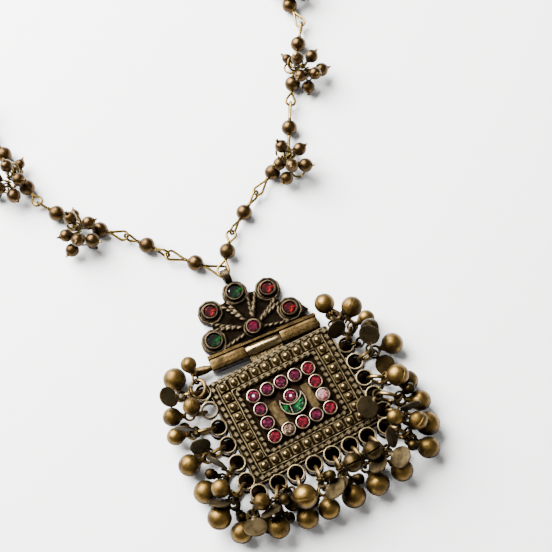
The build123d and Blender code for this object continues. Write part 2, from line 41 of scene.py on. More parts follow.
mm = 0.001  # the tables below are in millimetres, in the frame of the part
standing = ((0, 0, 1), (1, 0, 0), (0, 1, 0))  # axes of a place whose x looks straight up
sharpEdge = 35  # degrees, from which an edge is shaded as a sharp one


# mesh helpers: shapes are gathered as points and faces, then become one piece
def unit(v):
    v = np.asarray(v, float)
    return v / np.linalg.norm(v)


def newShape():
    return {"points": [], "faces": [], "count": 0}


def addTo(shape, points, faces):
    shape["points"].append(np.asarray(points, float))
    shape["faces"] += [tuple(i + shape["count"] for i in face) for face in faces]
    shape["count"] += len(points)


def at(place, points):  # points given in a place's own axes
    origin, axes = place
    return np.asarray(points, float) @ np.asarray(axes) + np.asarray(origin)


def flatPlace(x, y, z, turn=0):
    a = math.radians(turn)
    return ((x, y, z), ((math.cos(a), math.sin(a), 0), (-math.sin(a), math.cos(a), 0), (0, 0, 1)))


def gridFaces(rows, columns, closeRows=False, closeColumns=True):
    faces = []
    for i in range(rows if closeRows else rows - 1):
        for j in range(columns if closeColumns else columns - 1):
            a, b = i * columns + j, i * columns + (j + 1) % columns
            c, d = (i + 1) % rows * columns + (j + 1) % columns, (i + 1) % rows * columns + j
            faces.append((a, b, c, d))
    return faces


def endFaces(rows, columns):  # the two faces that close a stack of rings
    return [tuple(reversed(range(columns))), tuple(range((rows - 1) * columns, rows * columns))]


def poleFaces(rows, columns):  # fans to two points that come after the rings, at the low and the high end
    total, last = rows * columns, (rows - 1) * columns
    faces = [(total, (j + 1) % columns, j) for j in range(columns)]
    return faces + [(total + 1, last + j, last + (j + 1) % columns) for j in range(columns)]


def turnAngles(count):
    return np.linspace(0, 2 * math.pi, count, endpoint=False)


def tube(shape, path, radius, sides, closed=False):  # radius: a number, or (across, upright) for each point
    path = np.asarray(path, float)
    count = len(path)
    ahead = np.roll(path, -1, 0) - np.roll(path, 1, 0) if closed else np.gradient(path, axis=0)
    ahead /= np.linalg.norm(ahead, axis=1)[:, None]
    radii = np.broadcast_to(np.asarray(radius, float), (count, 2))
    angles = turnAngles(sides)[:, None]
    across = unit(np.cross(ahead[0], (0, 0, 1) if abs(ahead[0][2]) < 0.9 else (1, 0, 0)))
    points = []
    for i in range(count):
        across = unit(across - ahead[i] * across.dot(ahead[i]))
        upright = np.cross(across, ahead[i])
        wide, high = radii[i]
        points.append(path[i] + wide * np.cos(angles) * across + high * np.sin(angles) * upright)
    faces = gridFaces(count, sides, closeRows=closed)
    if not closed:
        faces += endFaces(count, sides)
    addTo(shape, np.concatenate(points), faces)


def lathe(shape, place, profile, segments, closed=False):  # profile: (along x, radius) of the place
    profile = np.asarray(profile, float)
    angles = turnAngles(segments)
    points = [np.c_[np.full(segments, x), r * np.cos(angles), r * np.sin(angles)] for x, r in profile]
    faces = gridFaces(len(profile), segments, closeRows=closed)
    if not closed:
        faces += endFaces(len(profile), segments)
    addTo(shape, at(place, np.concatenate(points)), faces)


def ball(shape, place, radius, segments, rows, squash=1.0, rough=0.0):
    angles = np.linspace(0, math.pi, rows + 1)[1:-1]
    profile = [(-math.cos(a) * squash, math.sin(a)) for a in angles]
    around = turnAngles(segments)
    rings = [np.c_[np.full(segments, x), r * np.cos(around), r * np.sin(around)] for x, r in profile]
    points = at(place, np.concatenate(rings + [[(-squash, 0, 0), (squash, 0, 0)]]) * radius)
    faces = gridFaces(len(profile), segments) + poleFaces(len(profile), segments)
    if rough:
        middle = np.asarray(place[0], float)
        lift = np.array([noise.noise(Vector(p * 0.6)) for p in points])[:, None]
        points = middle + (points - middle) * (1 + rough * lift)
    addTo(shape, points, faces)


def block(shape, place, low, high, bevel=0.15):  # a box with eased edges, drawn as stacked rings
    (x0, y0, z0), (x1, y1, z1) = low, high

    def ring(inset, z):
        return roundedRing(x0 + inset, x1 - inset, y0 + inset, y1 - inset, max(bevel - inset, 0.02), z, 3)

    rings = [ring(bevel, z0), ring(0, z0 + bevel), ring(0, z1 - bevel), ring(bevel, z1)]
    stack(shape, place, rings)


def roundedRing(x0, x1, y0, y1, radius, z, steps=4):
    points = []
    for cx, cy, start in ((x1, y1, 0), (x0, y1, 90), (x0, y0, 180), (x1, y0, 270)):
        ix = cx - math.copysign(radius, cx - (x0 + x1) / 2)
        iy = cy - math.copysign(radius, cy - (y0 + y1) / 2)
        for step in range(steps + 1):
            a = math.radians(start + 90 * step / steps)
            points.append((ix + radius * math.cos(a), iy + radius * math.sin(a), z))
    return points


def stack(shape, place, rings):
    count = len(rings[0])
    faces = gridFaces(len(rings), count) + endFaces(len(rings), count)
    addTo(shape, at(place, np.concatenate([np.asarray(r, float) for r in rings])), faces)


def strip(shape, path, half, low, high, closed=False):  # a flat strip on edge along a path in plan
    path = np.asarray(path, float)[:, :2]
    ahead = np.roll(path, -1, 0) - np.roll(path, 1, 0) if closed else np.gradient(path, axis=0)
    across = np.c_[-ahead[:, 1], ahead[:, 0]] / np.linalg.norm(ahead, axis=1)[:, None] * half
    ease = min(half * 0.5, 0.08)
    inner = across * (1 - ease / half)
    sections = [np.c_[path + side * reach, np.full(len(path), z)] for side, reach, z in
                ((-1, across, low), (1, across, low), (1, across, high - ease), (1, inner, high),
                 (-1, inner, high), (-1, across, high - ease))]
    faces = gridFaces(len(path), len(sections), closeRows=closed)
    if not closed:
        faces += endFaces(len(path), len(sections))
    addTo(shape, np.stack(sections, 1).reshape(-1, 3), faces)


def circlePath(place, radius, steps, start=0.0, sweep=360.0):
    angles = np.radians(np.linspace(start, start + sweep, steps, endpoint=sweep < 360))
    return at(place, np.c_[radius * np.cos(angles), radius * np.sin(angles), np.zeros(len(angles))])


def makePiece(name, shape, material, body, nodes=(), smooth=True):
    mesh = bpy.data.meshes.new(name)
    mesh.from_pydata((np.concatenate(shape["points"]) * mm).tolist(), [], shape["faces"])
    mesh.validate()
    mesh.materials.append(material)
    piece = bpy.data.objects.new(name, mesh)
    bpy.context.scene.collection.objects.link(piece)
    if smooth:
        mesh.shade_smooth()
        mesh.set_sharp_from_angle(angle=math.radians(sharpEdge))
    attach(piece, body)
    if nodes:
        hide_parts(*nodes)
    return piece


# node groups that several finishes share
def newGroup(name, inputs, outputs):
    group = bpy.data.node_groups.new(name, "ShaderNodeTree")
    for socketName, kind, default in inputs:
        socket = group.interface.new_socket(socketName, in_out="INPUT", socket_type=kind)
        socket.default_value = default
    for socketName, kind in outputs:
        group.interface.new_socket(socketName, in_out="OUTPUT", socket_type=kind)
    return group, group.nodes.new("NodeGroupInput").outputs, group.nodes.new("NodeGroupOutput").inputs


def addNode(tree, kind, links=(), **values):
    node = tree.nodes.new(kind)
    for key, value in values.items():
        setattr(node, key, value)
    for socket, source in links:
        if hasattr(source, "is_output"):
            tree.links.new(source, node.inputs[socket])
        else:
            node.inputs[socket].default_value = source
    return node


def mathNode(tree, operation, a, b=0.0, clamp=False):
    return addNode(tree, "ShaderNodeMath", [(0, a), (1, b)], operation=operation, use_clamp=clamp).outputs[0]


def mixColours(tree, share, first, second):  # sockets 6 and 7 are the two colours
    links = [(0, share), (6, first), (7, second)]
    return addNode(tree, "ShaderNodeMix", links, data_type="RGBA").outputs[2]


def rangeOf(tree, value, low, high, toLow=0.0, toHigh=1.0):
    links = [(0, value), (1, low), (2, high), (3, toLow), (4, toHigh)]
    return addNode(tree, "ShaderNodeMapRange", links, interpolation_type="SMOOTHSTEP").outputs[0]


def newFinish(name, plain):  # a material, its nodes and its shader; plain: what is the same all over
    material = bpy.data.materials.new(name)
    material.use_nodes = True
    shader = material.node_tree.nodes["Principled BSDF"]
    for socket, value in plain.items():
        shader.inputs[socket].default_value = value
    return material, material.node_tree, shader


def agedMetalGroup():  # brass, dark in its recesses by patina and by painted shade, with painted shade on faces turned down, darker below a set height, and rubbed bright on what stands out
    group, given, out = newGroup("agedMetal", [
        ("Metal", "NodeSocketColor", (0.4, 0.3, 0.14, 1)),
        ("Dark", "NodeSocketColor", (0.03, 0.02, 0.012, 1)),
        ("Rubbed", "NodeSocketColor", (0.7, 0.56, 0.3, 1)), ("Recess Reach", "NodeSocketFloat", 0.0015),
        ("Recess Depth", "NodeSocketFloat", 1.0), ("Edge Reach", "NodeSocketFloat", 0.0003),
        ("Edge Rub", "NodeSocketFloat", 0.6), ("Painted Side Shade", "NodeSocketFloat", 0.3),
        ("Dark Below", "NodeSocketFloat", -1.0),
        ("Tarnish", "NodeSocketFloat", 0.4), ("Patch Scale", "NodeSocketFloat", 500.0),
        ("Roughness", "NodeSocketFloat", 0.35)],
        [("Color", "NodeSocketColor"), ("Roughness", "NodeSocketFloat"), ("Height", "NodeSocketFloat")])
    coordinates = addNode(group, "ShaderNodeTexCoord").outputs
    where = coordinates["Object"]
    patches = addNode(group, "ShaderNodeTexNoise", [("Vector", where), ("Scale", given["Patch Scale"]),
                                                    ("Detail", 5.0), ("Roughness", 0.62)]).outputs[0]
    fineScale = mathNode(group, "MULTIPLY", given["Patch Scale"], 9.0)
    fine = addNode(group, "ShaderNodeTexNoise", [("Vector", where), ("Scale", fineScale),
                                                 ("Detail", 4.0)]).outputs[0]
    # recess darkening: patina in the hollows, and painted shade wherever the floor or a nearby part is within
    # reach
    hollow = addNode(group, "ShaderNodeAmbientOcclusion", [("Distance", given["Recess Reach"])], samples=8)
    hollow = mathNode(group, "SUBTRACT", 1.0, hollow.outputs["AO"])
    edge = addNode(group, "ShaderNodeAmbientOcclusion", [("Distance", given["Edge Reach"])], samples=8,
                   inside=True)  # traced inside the metal, where walls are near all round at an edge
    edge = mathNode(group, "SUBTRACT", 1.0, edge.outputs["AO"])
    broken = rangeOf(group, fine, 0.35, 0.65, 0.55, 1.15)
    patinaAndShadeMask = rangeOf(group, mathNode(group, "MULTIPLY", hollow, broken), 0.1, 0.62)
    patinaAndShadeMask = mathNode(group, "MULTIPLY", patinaAndShadeMask, given["Recess Depth"], clamp=True)
    level = addNode(group, "ShaderNodeSeparateXYZ", [(0, where)]).outputs[2]
    shallow = mathNode(group, "ADD", given["Dark Below"], 0.4 * mm)
    belowMask = rangeOf(group, level, given["Dark Below"], shallow, 1.0, 0.0)
    patinaAndShadeMask = mathNode(group, "MAXIMUM", patinaAndShadeMask, mathNode(group, "MULTIPLY", belowMask, 0.93))
    # painted shade: faces turned sideways and down are mixed towards the dark colour
    upward = addNode(group, "ShaderNodeSeparateXYZ", [(0, coordinates["Normal"])]).outputs[2]
    paintedSideShade = mathNode(group, "MULTIPLY", rangeOf(group, upward, -0.15, 0.8, 1.0, 0.0), given["Painted Side Shade"])
    tarnishMask = rangeOf(group, patches, 0.42, 0.68)
    tarnishMask = mathNode(group, "MULTIPLY", tarnishMask, given["Tarnish"], clamp=True)
    edgeMask = mathNode(group, "MULTIPLY", rangeOf(group, edge, 0.3, 0.75), given["Edge Rub"])
    edgeMask = mathNode(group, "MULTIPLY", edgeMask, broken, clamp=True)
    colour = mixColours(group, tarnishMask, given["Metal"], given["Dark"])
    colour = mixColours(group, paintedSideShade, colour, given["Dark"])
    colour = mixColours(group, edgeMask, colour, given["Rubbed"])
    colour = mixColours(group, patinaAndShadeMask, colour, given["Dark"])
    group.links.new(colour, out["Color"])
    rough = mathNode(group, "MULTIPLY_ADD", patinaAndShadeMask, 0.35)
    group.links.new(given["Roughness"], rough.node.inputs[2])
    rough = mathNode(group, "ADD", rough, rangeOf(group, fine, 0.3, 0.7, -0.07, 0.09))
    rough = mathNode(group, "ADD", rough, mathNode(group, "MULTIPLY", tarnishMask, 0.22), clamp=True)
    group.links.new(rough, out["Roughness"])
    lumps = mathNode(group, "MULTIPLY", patches, 0.7)
    group.links.new(mathNode(group, "ADD", lumps, mathNode(group, "MULTIPLY", fine, 0.3)), out["Height"])
    return group


agedMetal = agedMetalGroup()


# reach, edge, below and bump in millimetres; the default of below lies under every piece; side is how much
# painted shade falls on faces turned sideways and down
def metalFinish(name, metal, dark, rubbed, rub, bump, reach=1.5, depth=1.0, edge=0.12, side=0.3, below=-1000,
                tarnish=0.4, patch=500, rough=0.35):
    material, tree, shader = newFinish(name, {"Metallic": 1.0})
    aged = addNode(tree, "ShaderNodeGroup", [
        ("Metal", (*metal, 1)), ("Dark", (*dark, 1)), ("Rubbed", (*rubbed, 1)), ("Recess Reach", reach * mm),
        ("Recess Depth", depth), ("Edge Reach", edge * mm), ("Edge Rub", rub), ("Painted Side Shade", side),
        ("Dark Below", below * mm), ("Tarnish", tarnish), ("Patch Scale", patch), ("Roughness", rough)],
        node_tree=agedMetal)
    lumps = addNode(tree, "ShaderNodeBump", [("Height", aged.outputs["Height"]), ("Strength", 0.6),
                                             ("Distance", bump * mm)])
    tree.links.new(aged.outputs["Color"], shader.inputs["Base Color"])
    tree.links.new(aged.outputs["Roughness"], shader.inputs["Roughness"])
    tree.links.new(lumps.outputs[0], shader.inputs["Normal"])
    return material


darkBrown = (0.002, 0.001, 0.0005)
plateFinish = metalFinish("agedPlateBrass", (0.06, 0.041, 0.019), darkBrown, (0.4, 0.31, 0.17), reach=1.5,
                          edge=0.3, rub=0.6, side=0.6, below=2.75, tarnish=0.5, patch=420, bump=0.09)
blockFinish = metalFinish("blockRows", (0.14, 0.106, 0.056), darkBrown, (0.5, 0.4, 0.24), reach=1.0, edge=0.2,
                          rub=0.6, side=0.75, below=2.85, tarnish=0.6, patch=700, rough=0.3, bump=0.06)
grainFinish = metalFinish("plateGrains", (0.15, 0.105, 0.045), darkBrown, (0.5, 0.39, 0.2), reach=1.2,
                          edge=0.2, rub=0.5, side=0.8, below=3.08, tarnish=0.5, patch=600, rough=0.25,
                          bump=0.06)
crestFinish = metalFinish("castCrest", (0.05, 0.036, 0.02), (0.0015, 0.0009, 0.0005), (0.1, 0.074, 0.04),
                          reach=1.8, edge=0.18, rub=0.6, side=0.8, below=1.66, tarnish=0.7, patch=480,
                          rough=0.38, bump=0.2)
ribbonFinish = metalFinish("loopStrip", (0.2, 0.148, 0.074), darkBrown, (0.52, 0.41, 0.23), reach=1.2,
                           rub=1.0, side=0.95, tarnish=0.35, patch=520, rough=0.3, bump=0.06)
collarFinish = metalFinish("stoneCollars", (0.4, 0.295, 0.19), darkBrown, (0.7, 0.57, 0.4), reach=0.6,
                           edge=0.08, rub=0.9, side=0.7, tarnish=0.35, patch=600, rough=0.3, bump=0.05)
# the long recess reach takes in the floor and nearby parts: painted shade on the lower halves of the bells
bellFinish = metalFinish("bellBrass", (0.15, 0.089, 0.023), (0.005, 0.0023, 0.0007), (0.28, 0.18, 0.065),
                         reach=4.0, edge=0.2, rub=0.12, side=1.0, tarnish=0.8, patch=230, rough=0.39,
                         bump=0.15)
# a darker copy of the brass: painted shade for the small parts behind
shadedFinish = metalFinish("shadedBrass", (0.038, 0.024, 0.008), (0.002, 0.001, 0.0004), (0.16, 0.1, 0.035),
                           reach=4.0, rub=0.15, side=0.8, tarnish=0.6, patch=260, rough=0.36, bump=0.07)
discFinish = metalFinish("discBrass", (0.046, 0.033, 0.0155), (0.01, 0.0066, 0.003), (0.24, 0.18, 0.09),
                         reach=1.2, depth=0.8, edge=0.1, rub=0.9, side=0.2, tarnish=0.7, patch=420, rough=0.6,
                         bump=0.09)
ringFinish = metalFinish("ringBrass", (0.2, 0.128, 0.045), darkBrown, (0.5, 0.36, 0.16), reach=1.6, rub=0.4,
                         side=0.7, tarnish=0.5, patch=500, rough=0.3, bump=0.05)
beadFinish = metalFinish("beadBronze", (0.078, 0.044, 0.0155), (0.003, 0.0014, 0.0006), (0.24, 0.15, 0.062),
                         reach=2.4, rub=0.2, side=0.75, tarnish=0.5, patch=330, rough=0.31, bump=0.05)
wireFinish = metalFinish("chainWire", (0.19, 0.12, 0.026), (0.009, 0.0045, 0.001), (0.6, 0.43, 0.14),
                         reach=1.1, rub=0.3, side=0.7, tarnish=0.5, patch=450, rough=0.25, bump=0.04)
knuckleFinish = metalFinish("knuckleSheet", (0.055, 0.034, 0.012), darkBrown, (0.38, 0.27, 0.12), reach=1.2,
                            edge=0.25, rub=1.0, side=0.65, tarnish=0.75, patch=260, rough=0.3, bump=0.2)
patchFinish = metalFinish("fieldPatches", (0.05, 0.034, 0.0145), darkBrown, (0.16, 0.11, 0.05), reach=0.9,
                          edge=0.05, rub=0.3, tarnish=0.6, patch=520, rough=0.45, bump=0.2)
polishedFinish = metalFinish("knucklePolished", (0.24, 0.168, 0.075), (0.006, 0.0032, 0.0014),
                             (0.6, 0.48, 0.28), reach=1.1, edge=0.2, rub=0.4, side=0.8, tarnish=0.2,
                             patch=180, rough=0.16, bump=0.03)
print("metal finishes made")


# square plate
plateSize = {
    "side": 17.1, "head": 13.85, "foot": 14.45, "thick": 2.8, "round": 0.6,
    "grainSide": 13.3, "grainHead": 11.35, "grainFoot": 10.85, "grainsAlong": 10, "grainsUp": 9, "grain": 1.0,
    "base": 1.27, "baseHigh": 0.48,
    "fieldGap": 2.8, "fieldDeep": 0.5, "wireCorner": 0.5,
    # beyond the grains at the sides, head and foot, and its radius
    "smoothWires": [(-1.52, -1.5, -1.5, 0.19), (1.52, 1.3, 1.55, 0.21), (3.58, 2.42, 3.48, 0.19)],
    # the same gaps, half a block's width, and from block to block
    "blockRows": [(-2.45, -2.1, -2.3, 0.52, 1.62), (2.55, 1.87, 2.52, 0.6, 1.85)],
}
fieldTop = plateSize["thick"] - plateSize["fieldDeep"]


def rectanglePath(sideGap, headGap, footGap, step=0.4):
    p = plateSize
    side, head, foot = p["grainSide"] + sideGap, p["grainHead"] + headGap, p["grainFoot"] + footGap
    corners = np.array(roundedRing(-side, side, -foot, head, p["wireCorner"], p["thick"]))
    dense = []
    for a, b in zip(corners, np.roll(corners, -1, 0)):
        count = max(1, int(np.linalg.norm(b - a) / step))
        dense += [a + (b - a) * t for t in np.linspace(0, 1, count, endpoint=False)]
    return np.array(dense)


def wander(path, amount, seed=0.0):  # a hand-laid wire is never quite straight
    scale = 0.35  # how fast it wanders, in waves per millimetre
    shift = [noise.noise_vector(Vector((p[0] * scale + seed, p[1] * scale, seed))) for p in path]
    return path + np.array(shift) * amount * np.array((1, 1, 0.4))


def plateSlab():
    p, shape = plateSize, newShape()
    inner = (-(p["grainSide"] - p["fieldGap"]), p["grainSide"] - p["fieldGap"],
             -(p["grainFoot"] - p["fieldGap"]), p["grainHead"] - p["fieldGap"])

    def outer(inset, z):
        return roundedRing(-p["side"] + inset, p["side"] - inset, -p["foot"] + inset, p["head"] - inset,
                           p["round"], z)

    rings = [outer(0.25, 0), outer(0, 0.25), outer(0, p["thick"] - 0.3), outer(0.3, p["thick"]),
             roundedRing(*inner, 0.3, p["thick"]), roundedRing(*inner, 0.3, fieldTop)]
    stack(shape, flatPlace(0, 0, 0), rings)
    return shape


def plateWires():
    shape = newShape()
    for i, (side, head, foot, radius) in enumerate(plateSize["smoothWires"]):
        path = wander(rectanglePath(side, head, foot) + (0, 0, 0.12), 0.12, seed=i * 7.0)
        tube(shape, path, radius, 8, closed=True)
    return shape


def plateBlockRows():  # rows of small slanting blocks, like a flattened rope
    shape = newShape()
    for i, (side, head, foot, half, pitch) in enumerate(plateSize["blockRows"]):
        path = rectanglePath(side, head, foot, step=0.1)
        walked = np.r_[0, np.cumsum(np.linalg.norm(np.roll(path, -1, 0) - path, axis=1))]
        count = round(walked[-1] / pitch)
        tube(shape, wander(path[::4] + (0, 0, 0.02), 0.06, seed=i * 3.0), half * 0.45, 8, closed=True)
        for k in range(count):
            where = np.searchsorted(walked, k * walked[-1] / count) % len(path)
            spot, ahead = path[where], unit(path[(where + 1) % len(path)] - path[where - 1])
            wobble = noise.noise_vector(Vector(spot * 1.3)) * 0.5
            turn = math.degrees(math.atan2(ahead[1], ahead[0])) + 16 + wobble.x * 22
            long, wide = half * (1.12 + wobble.y * 0.3), half * (1 + wobble.x * 0.25)
            high = half * (1.05 + wobble.z * 0.5)
            x, y = spot[0] + wobble.y * 0.12, spot[1] + wobble.z * 0.12
            place = flatPlace(x, y, plateSize["thick"] - 0.05, turn)
            block(shape, place, (-long, -wide, 0), (long, wide, high + 0.15), half * 0.42)
    return shape


def plateGrains():  # domes on squarish bases that nearly touch
    p, shape = plateSize, newShape()
    spots = []
    for i in range(p["grainsAlong"]):
        x = p["grainSide"] * (2 * i / (p["grainsAlong"] - 1) - 1)
        spots += [(x, p["grainHead"]), (x, -p["grainFoot"])]
    for i in range(1, p["grainsUp"] - 1):
        y = p["grainHead"] - (p["grainHead"] + p["grainFoot"]) * i / (p["grainsUp"] - 1)
        spots += [(-p["grainSide"], y), (p["grainSide"], y)]
    for x, y in spots:
        wobble = noise.noise_vector(Vector((x, y, 0.3))) * 0.25
        x, y, r = x + wobble.x * 0.4, y + wobble.y * 0.4, p["grain"] * (1 + wobble.z * 0.22)
        half = p["base"] + wobble.x * 0.15
        base = flatPlace(x, y, p["thick"] - 0.03, wobble.y * 30)
        block(shape, base, (-half, -half, 0), (half, half, p["baseHigh"] + 0.03), 0.2)
        ball(shape, ((x, y, p["thick"] + p["baseHigh"] - 0.08), standing), r, 24, 14, squash=1.02)
    return shape


makePiece("plateSlab", plateSlab(), plateFinish, "plate", ["plate"])
makePiece("plateWires", plateWires(), blockFinish, "plate")
makePiece("plateBlockRows", plateBlockRows(), blockFinish, "plate")
makePiece("plateGrains", plateGrains(), grainFinish, "plate")
print("plate made")


# stones and their collars
stoneSize = {
    "pitch": 3.85, "along": 5, "up": 4, "outer": 1.88, "inner": 1.6, "high": 1.6, "clear": 0.08,
    "below": 0.55, "girdle": 0.3, "crown": 0.75, "table": 0.62, "sides": 12,
    "ruby": (0.45, 1.5), "glass": 1.52,
}


def ringSpots():
    s, spots = stoneSize, []
    for i in range(s["along"]):
        for j in range(s["up"]):
            if i in (0, s["along"] - 1) or j in (0, s["up"] - 1):
                spots.append(((i - (s["along"] - 1) / 2) * s["pitch"], (j - (s["up"] - 1) / 2) * s["pitch"]))
    return spots + [s["ruby"]]


def collar(shape, x, y, z, outer, inner, high, seed):  # a strip bent round a stone, its rim pressed over it
    profile = [(0, inner), (0, outer), (high * 0.55, outer - 0.02), (high - 0.14, outer - 0.07),
               (high, outer - 0.16), (high + 0.02, inner + 0.03), (high - 0.1, inner - 0.1),
               (high - 0.25, inner - 0.04)]
    segments = 40
    angles = turnAngles(segments)
    spots = [(math.cos(a) * 0.8, math.sin(a) * 0.8, seed * 3.7) for a in angles]
    uneven = np.array([noise.noise(Vector(spot)) for spot in spots])
    points = []
    for up, r in profile:
        share = max(0.0, up / high)
        reach = r * (1 + 0.028 * uneven * share)
        lift = 0.09 * uneven * share
        points.append(np.c_[x + reach * np.cos(angles), y + reach * np.sin(angles), z + up + lift])
    addTo(shape, np.concatenate(points), gridFaces(len(profile), segments, closeRows=True))


def stonePiece(name, node, x, y, z, radius, material, body, turn):
    s = stoneSize
    sides, girdle = s["sides"], s["below"] + s["girdle"]
    a = np.radians(turn) + turnAngles(sides)
    half = a + math.pi / sides
    levels = [(0.0, 0.5, a), (s["below"], 1.0, a), (girdle, 1.0, a),
              (girdle + s["crown"] * 0.5, 0.88, half), (girdle + s["crown"], s["table"], a)]
    points = [np.c_[x + radius * r * np.cos(t), y + radius * r * np.sin(t), np.full(sides, z + up)]
              for up, r, t in levels]
    faces = [tuple(reversed(range(sides)))] + gridFaces(3, sides)
    for level in (2, 3):  # kite and star facets of the crown
        for j in range(sides):
            low, high, k = level * sides, (level + 1) * sides, (j + 1) % sides
            if level == 2:
                faces += [(low + j, low + k, high + j), (low + k, high + k, high + j)]
            else:
                faces += [(low + j, high + k, high + j), (low + j, low + k, high + k)]
    faces.append(tuple(range(4 * sides, 5 * sides)))
    shape = newShape()
    addTo(shape, np.concatenate(points), faces)
    piece = makePiece(name, shape, material, body, [node], smooth=False)
    layer = piece.data.uv_layers.new(name="stone")  # place across the stone, from its middle
    for loop in piece.data.loops:
        p = piece.data.vertices[loop.vertex_index].co
        layer.data[loop.index].uv = ((p.x / mm - x) / radius * 0.5 + 0.5, (p.y / mm - y) / radius * 0.5 + 0.5)
    return piece


def paintedSparkleGroup():  # painted light of a cut stone on its foil: painted flashes in wedges from the middle, crossed by rings
    group, given, out = newGroup("paintedStoneSparkle", [
        ("Deep", "NodeSocketColor", (0.1, 0, 0.02, 1)), ("Body", "NodeSocketColor", (0.5, 0, 0.08, 1)),
        ("Painted Flash", "NodeSocketColor", (1, 0.3, 0.4, 1)), ("Wedges", "NodeSocketFloat", 5.0),
        ("Turn", "NodeSocketFloat", 0.0), ("Painted Light Spot", "NodeSocketFloat", 0.0),
        ("Painted Glint", "NodeSocketFloat", 0.0)],
        [("Color", "NodeSocketColor"), ("Glow", "NodeSocketColor")])
    where = addNode(group, "ShaderNodeUVMap", uv_map="stone").outputs[0]
    middle = [(0, where), (1, (0.5, 0.5, 0))]
    centred = addNode(group, "ShaderNodeVectorMath", middle, operation="SUBTRACT").outputs[0]
    reach = addNode(group, "ShaderNodeVectorMath", [(0, centred)], operation="LENGTH").outputs["Value"]
    parts = addNode(group, "ShaderNodeSeparateXYZ", [(0, centred)]).outputs
    angle = mathNode(group, "ARCTAN2", parts[1], parts[0])
    angle = mathNode(group, "ADD", angle, given["Turn"])
    wedge = mathNode(group, "SINE", mathNode(group, "MULTIPLY", angle, given["Wedges"]))
    more = mathNode(group, "ADD", given["Wedges"], 3)  # the table has more wedges than the rim
    inner = mathNode(group, "SINE", mathNode(group, "MULTIPLY", angle, more))
    pick = mathNode(group, "GREATER_THAN", reach, 0.27)
    star = mathNode(group, "ADD", mathNode(group, "MULTIPLY", wedge, pick),
                    mathNode(group, "MULTIPLY", inner, mathNode(group, "SUBTRACT", 1.0, pick)))
    flat = addNode(group, "ShaderNodeSeparateXYZ", [(0, where)]).outputs
    moved = [(0, flat[0]), (1, flat[1]), (2, given["Turn"])]  # each stone has its own shards
    moved = addNode(group, "ShaderNodeCombineXYZ", moved).outputs[0]
    shards = addNode(group, "ShaderNodeTexVoronoi", [("Vector", moved), ("Scale", 7.0)]).outputs["Color"]
    shards = addNode(group, "ShaderNodeSeparateXYZ", [(0, shards)]).outputs[0]
    light = mathNode(group, "ADD", mathNode(group, "MULTIPLY", star, 0.24),
                     mathNode(group, "MULTIPLY", shards, 0.75))
    lower = mathNode(group, "SUBTRACT", mathNode(group, "MULTIPLY", parts[0], 0.8), parts[1])
    spot = rangeOf(group, lower, -0.14, 0.16)
    unlit = mathNode(group, "SUBTRACT", 1.0, spot)  # painted light that comes through at the lower right; the rest of the stone is painted darker
    unlit = mathNode(group, "MULTIPLY", unlit, given["Painted Light Spot"])
    light = mathNode(group, "MULTIPLY", light, mathNode(group, "SUBTRACT", 1.0, unlit))
    body = rangeOf(group, light, 0.15, 0.6)
    paintedFlash = rangeOf(group, light, 0.68, 0.95)
    # painted shade: the stone is darker towards its rim
    rim = rangeOf(group, reach, 0.4, 0.5)
    colour = mixColours(group, body, given["Deep"], given["Body"])
    colour = mixColours(group, paintedFlash, colour, given["Painted Flash"])
    colour = mixColours(group, mathNode(group, "MULTIPLY", rim, 0.75), colour, given["Deep"])
    # a painted glint: a pale spot in the middle of the stone
    paintedGlint = mathNode(group, "MULTIPLY", rangeOf(group, reach, 0.05, 0.13, 1.0, 0.0), given["Painted Glint"])
    colour = mixColours(group, paintedGlint, colour, (0.9, 0.78, 0.85, 1))
    group.links.new(colour, out["Color"])
    # painted glow: a dimmed copy of the colour is given off as light
    group.links.new(mixColours(group, 0.35, colour, (0, 0, 0, 1)), out["Glow"])
    return group


paintedStoneSparkle = paintedSparkleGroup()


# the flashes, the glint and the lit spot are painted light; the glow makes the stone give off light of its
# own
def glassFinish(name, deep, body, paintedFlash, turn, wedges=5, paintedGlow=0.15, spot=0.0, paintedGlint=0.0):
    material, tree, shader = newFinish(name, {
        "Roughness": 0.08, "IOR": 1.6, "Coat Weight": 0.8, "Coat Roughness": 0.04, "Emission Strength": paintedGlow,
        "Specular IOR Level": 0.6})
    spark = addNode(tree, "ShaderNodeGroup", [
        ("Deep", (*deep, 1)), ("Body", (*body, 1)), ("Painted Flash", (*paintedFlash, 1)), ("Wedges", wedges),
        ("Turn", turn), ("Painted Light Spot", spot), ("Painted Glint", paintedGlint)], node_tree=paintedStoneSparkle)
    tree.links.new(spark.outputs["Color"], shader.inputs["Base Color"])
    tree.links.new(spark.outputs["Glow"], shader.inputs["Emission Color"])
    return material


magentaGlass = [glassFinish(f"magentaGlass{i}", (0.006, 0.0, 0.0015), (0.045, 0.0004, 0.011),
                            (0.17, 0.01, 0.045), turn=i * 1.7) for i in range(3)]
paintedGlintGlass = glassFinish("paintedGlintGlass", (0.01, 0.0, 0.002), (0.06, 0.0005, 0.012), (0.2, 0.012, 0.045),
                         turn=2.4, paintedGlint=0.9)
redGlass = [glassFinish(f"redGlass{i}", (0.014, 0.0, 0.0012), (0.105, 0.0003, 0.007), (0.36, 0.012, 0.03),
                        turn=i * 2.3, spot=0.3) for i in range(3)]
paleRedGlass = glassFinish("paleRedGlass", (0.24, 0.15, 0.15), (0.12, 0.001, 0.006), (0.3, 0.008, 0.02),
                           turn=1.9, spot=0.4)
crestRed = glassFinish("crestRedGlass", (0.008, 0.0, 0.0005), (0.09, 0.0, 0.001), (0.38, 0.003, 0.004),
                       turn=0.6, spot=0.6)
crestRuby = glassFinish("crestRubyGlass", (0.01, 0.0, 0.002), (0.075, 0.0, 0.011), (0.24, 0.001, 0.03),
                        turn=1.1, spot=0.2)
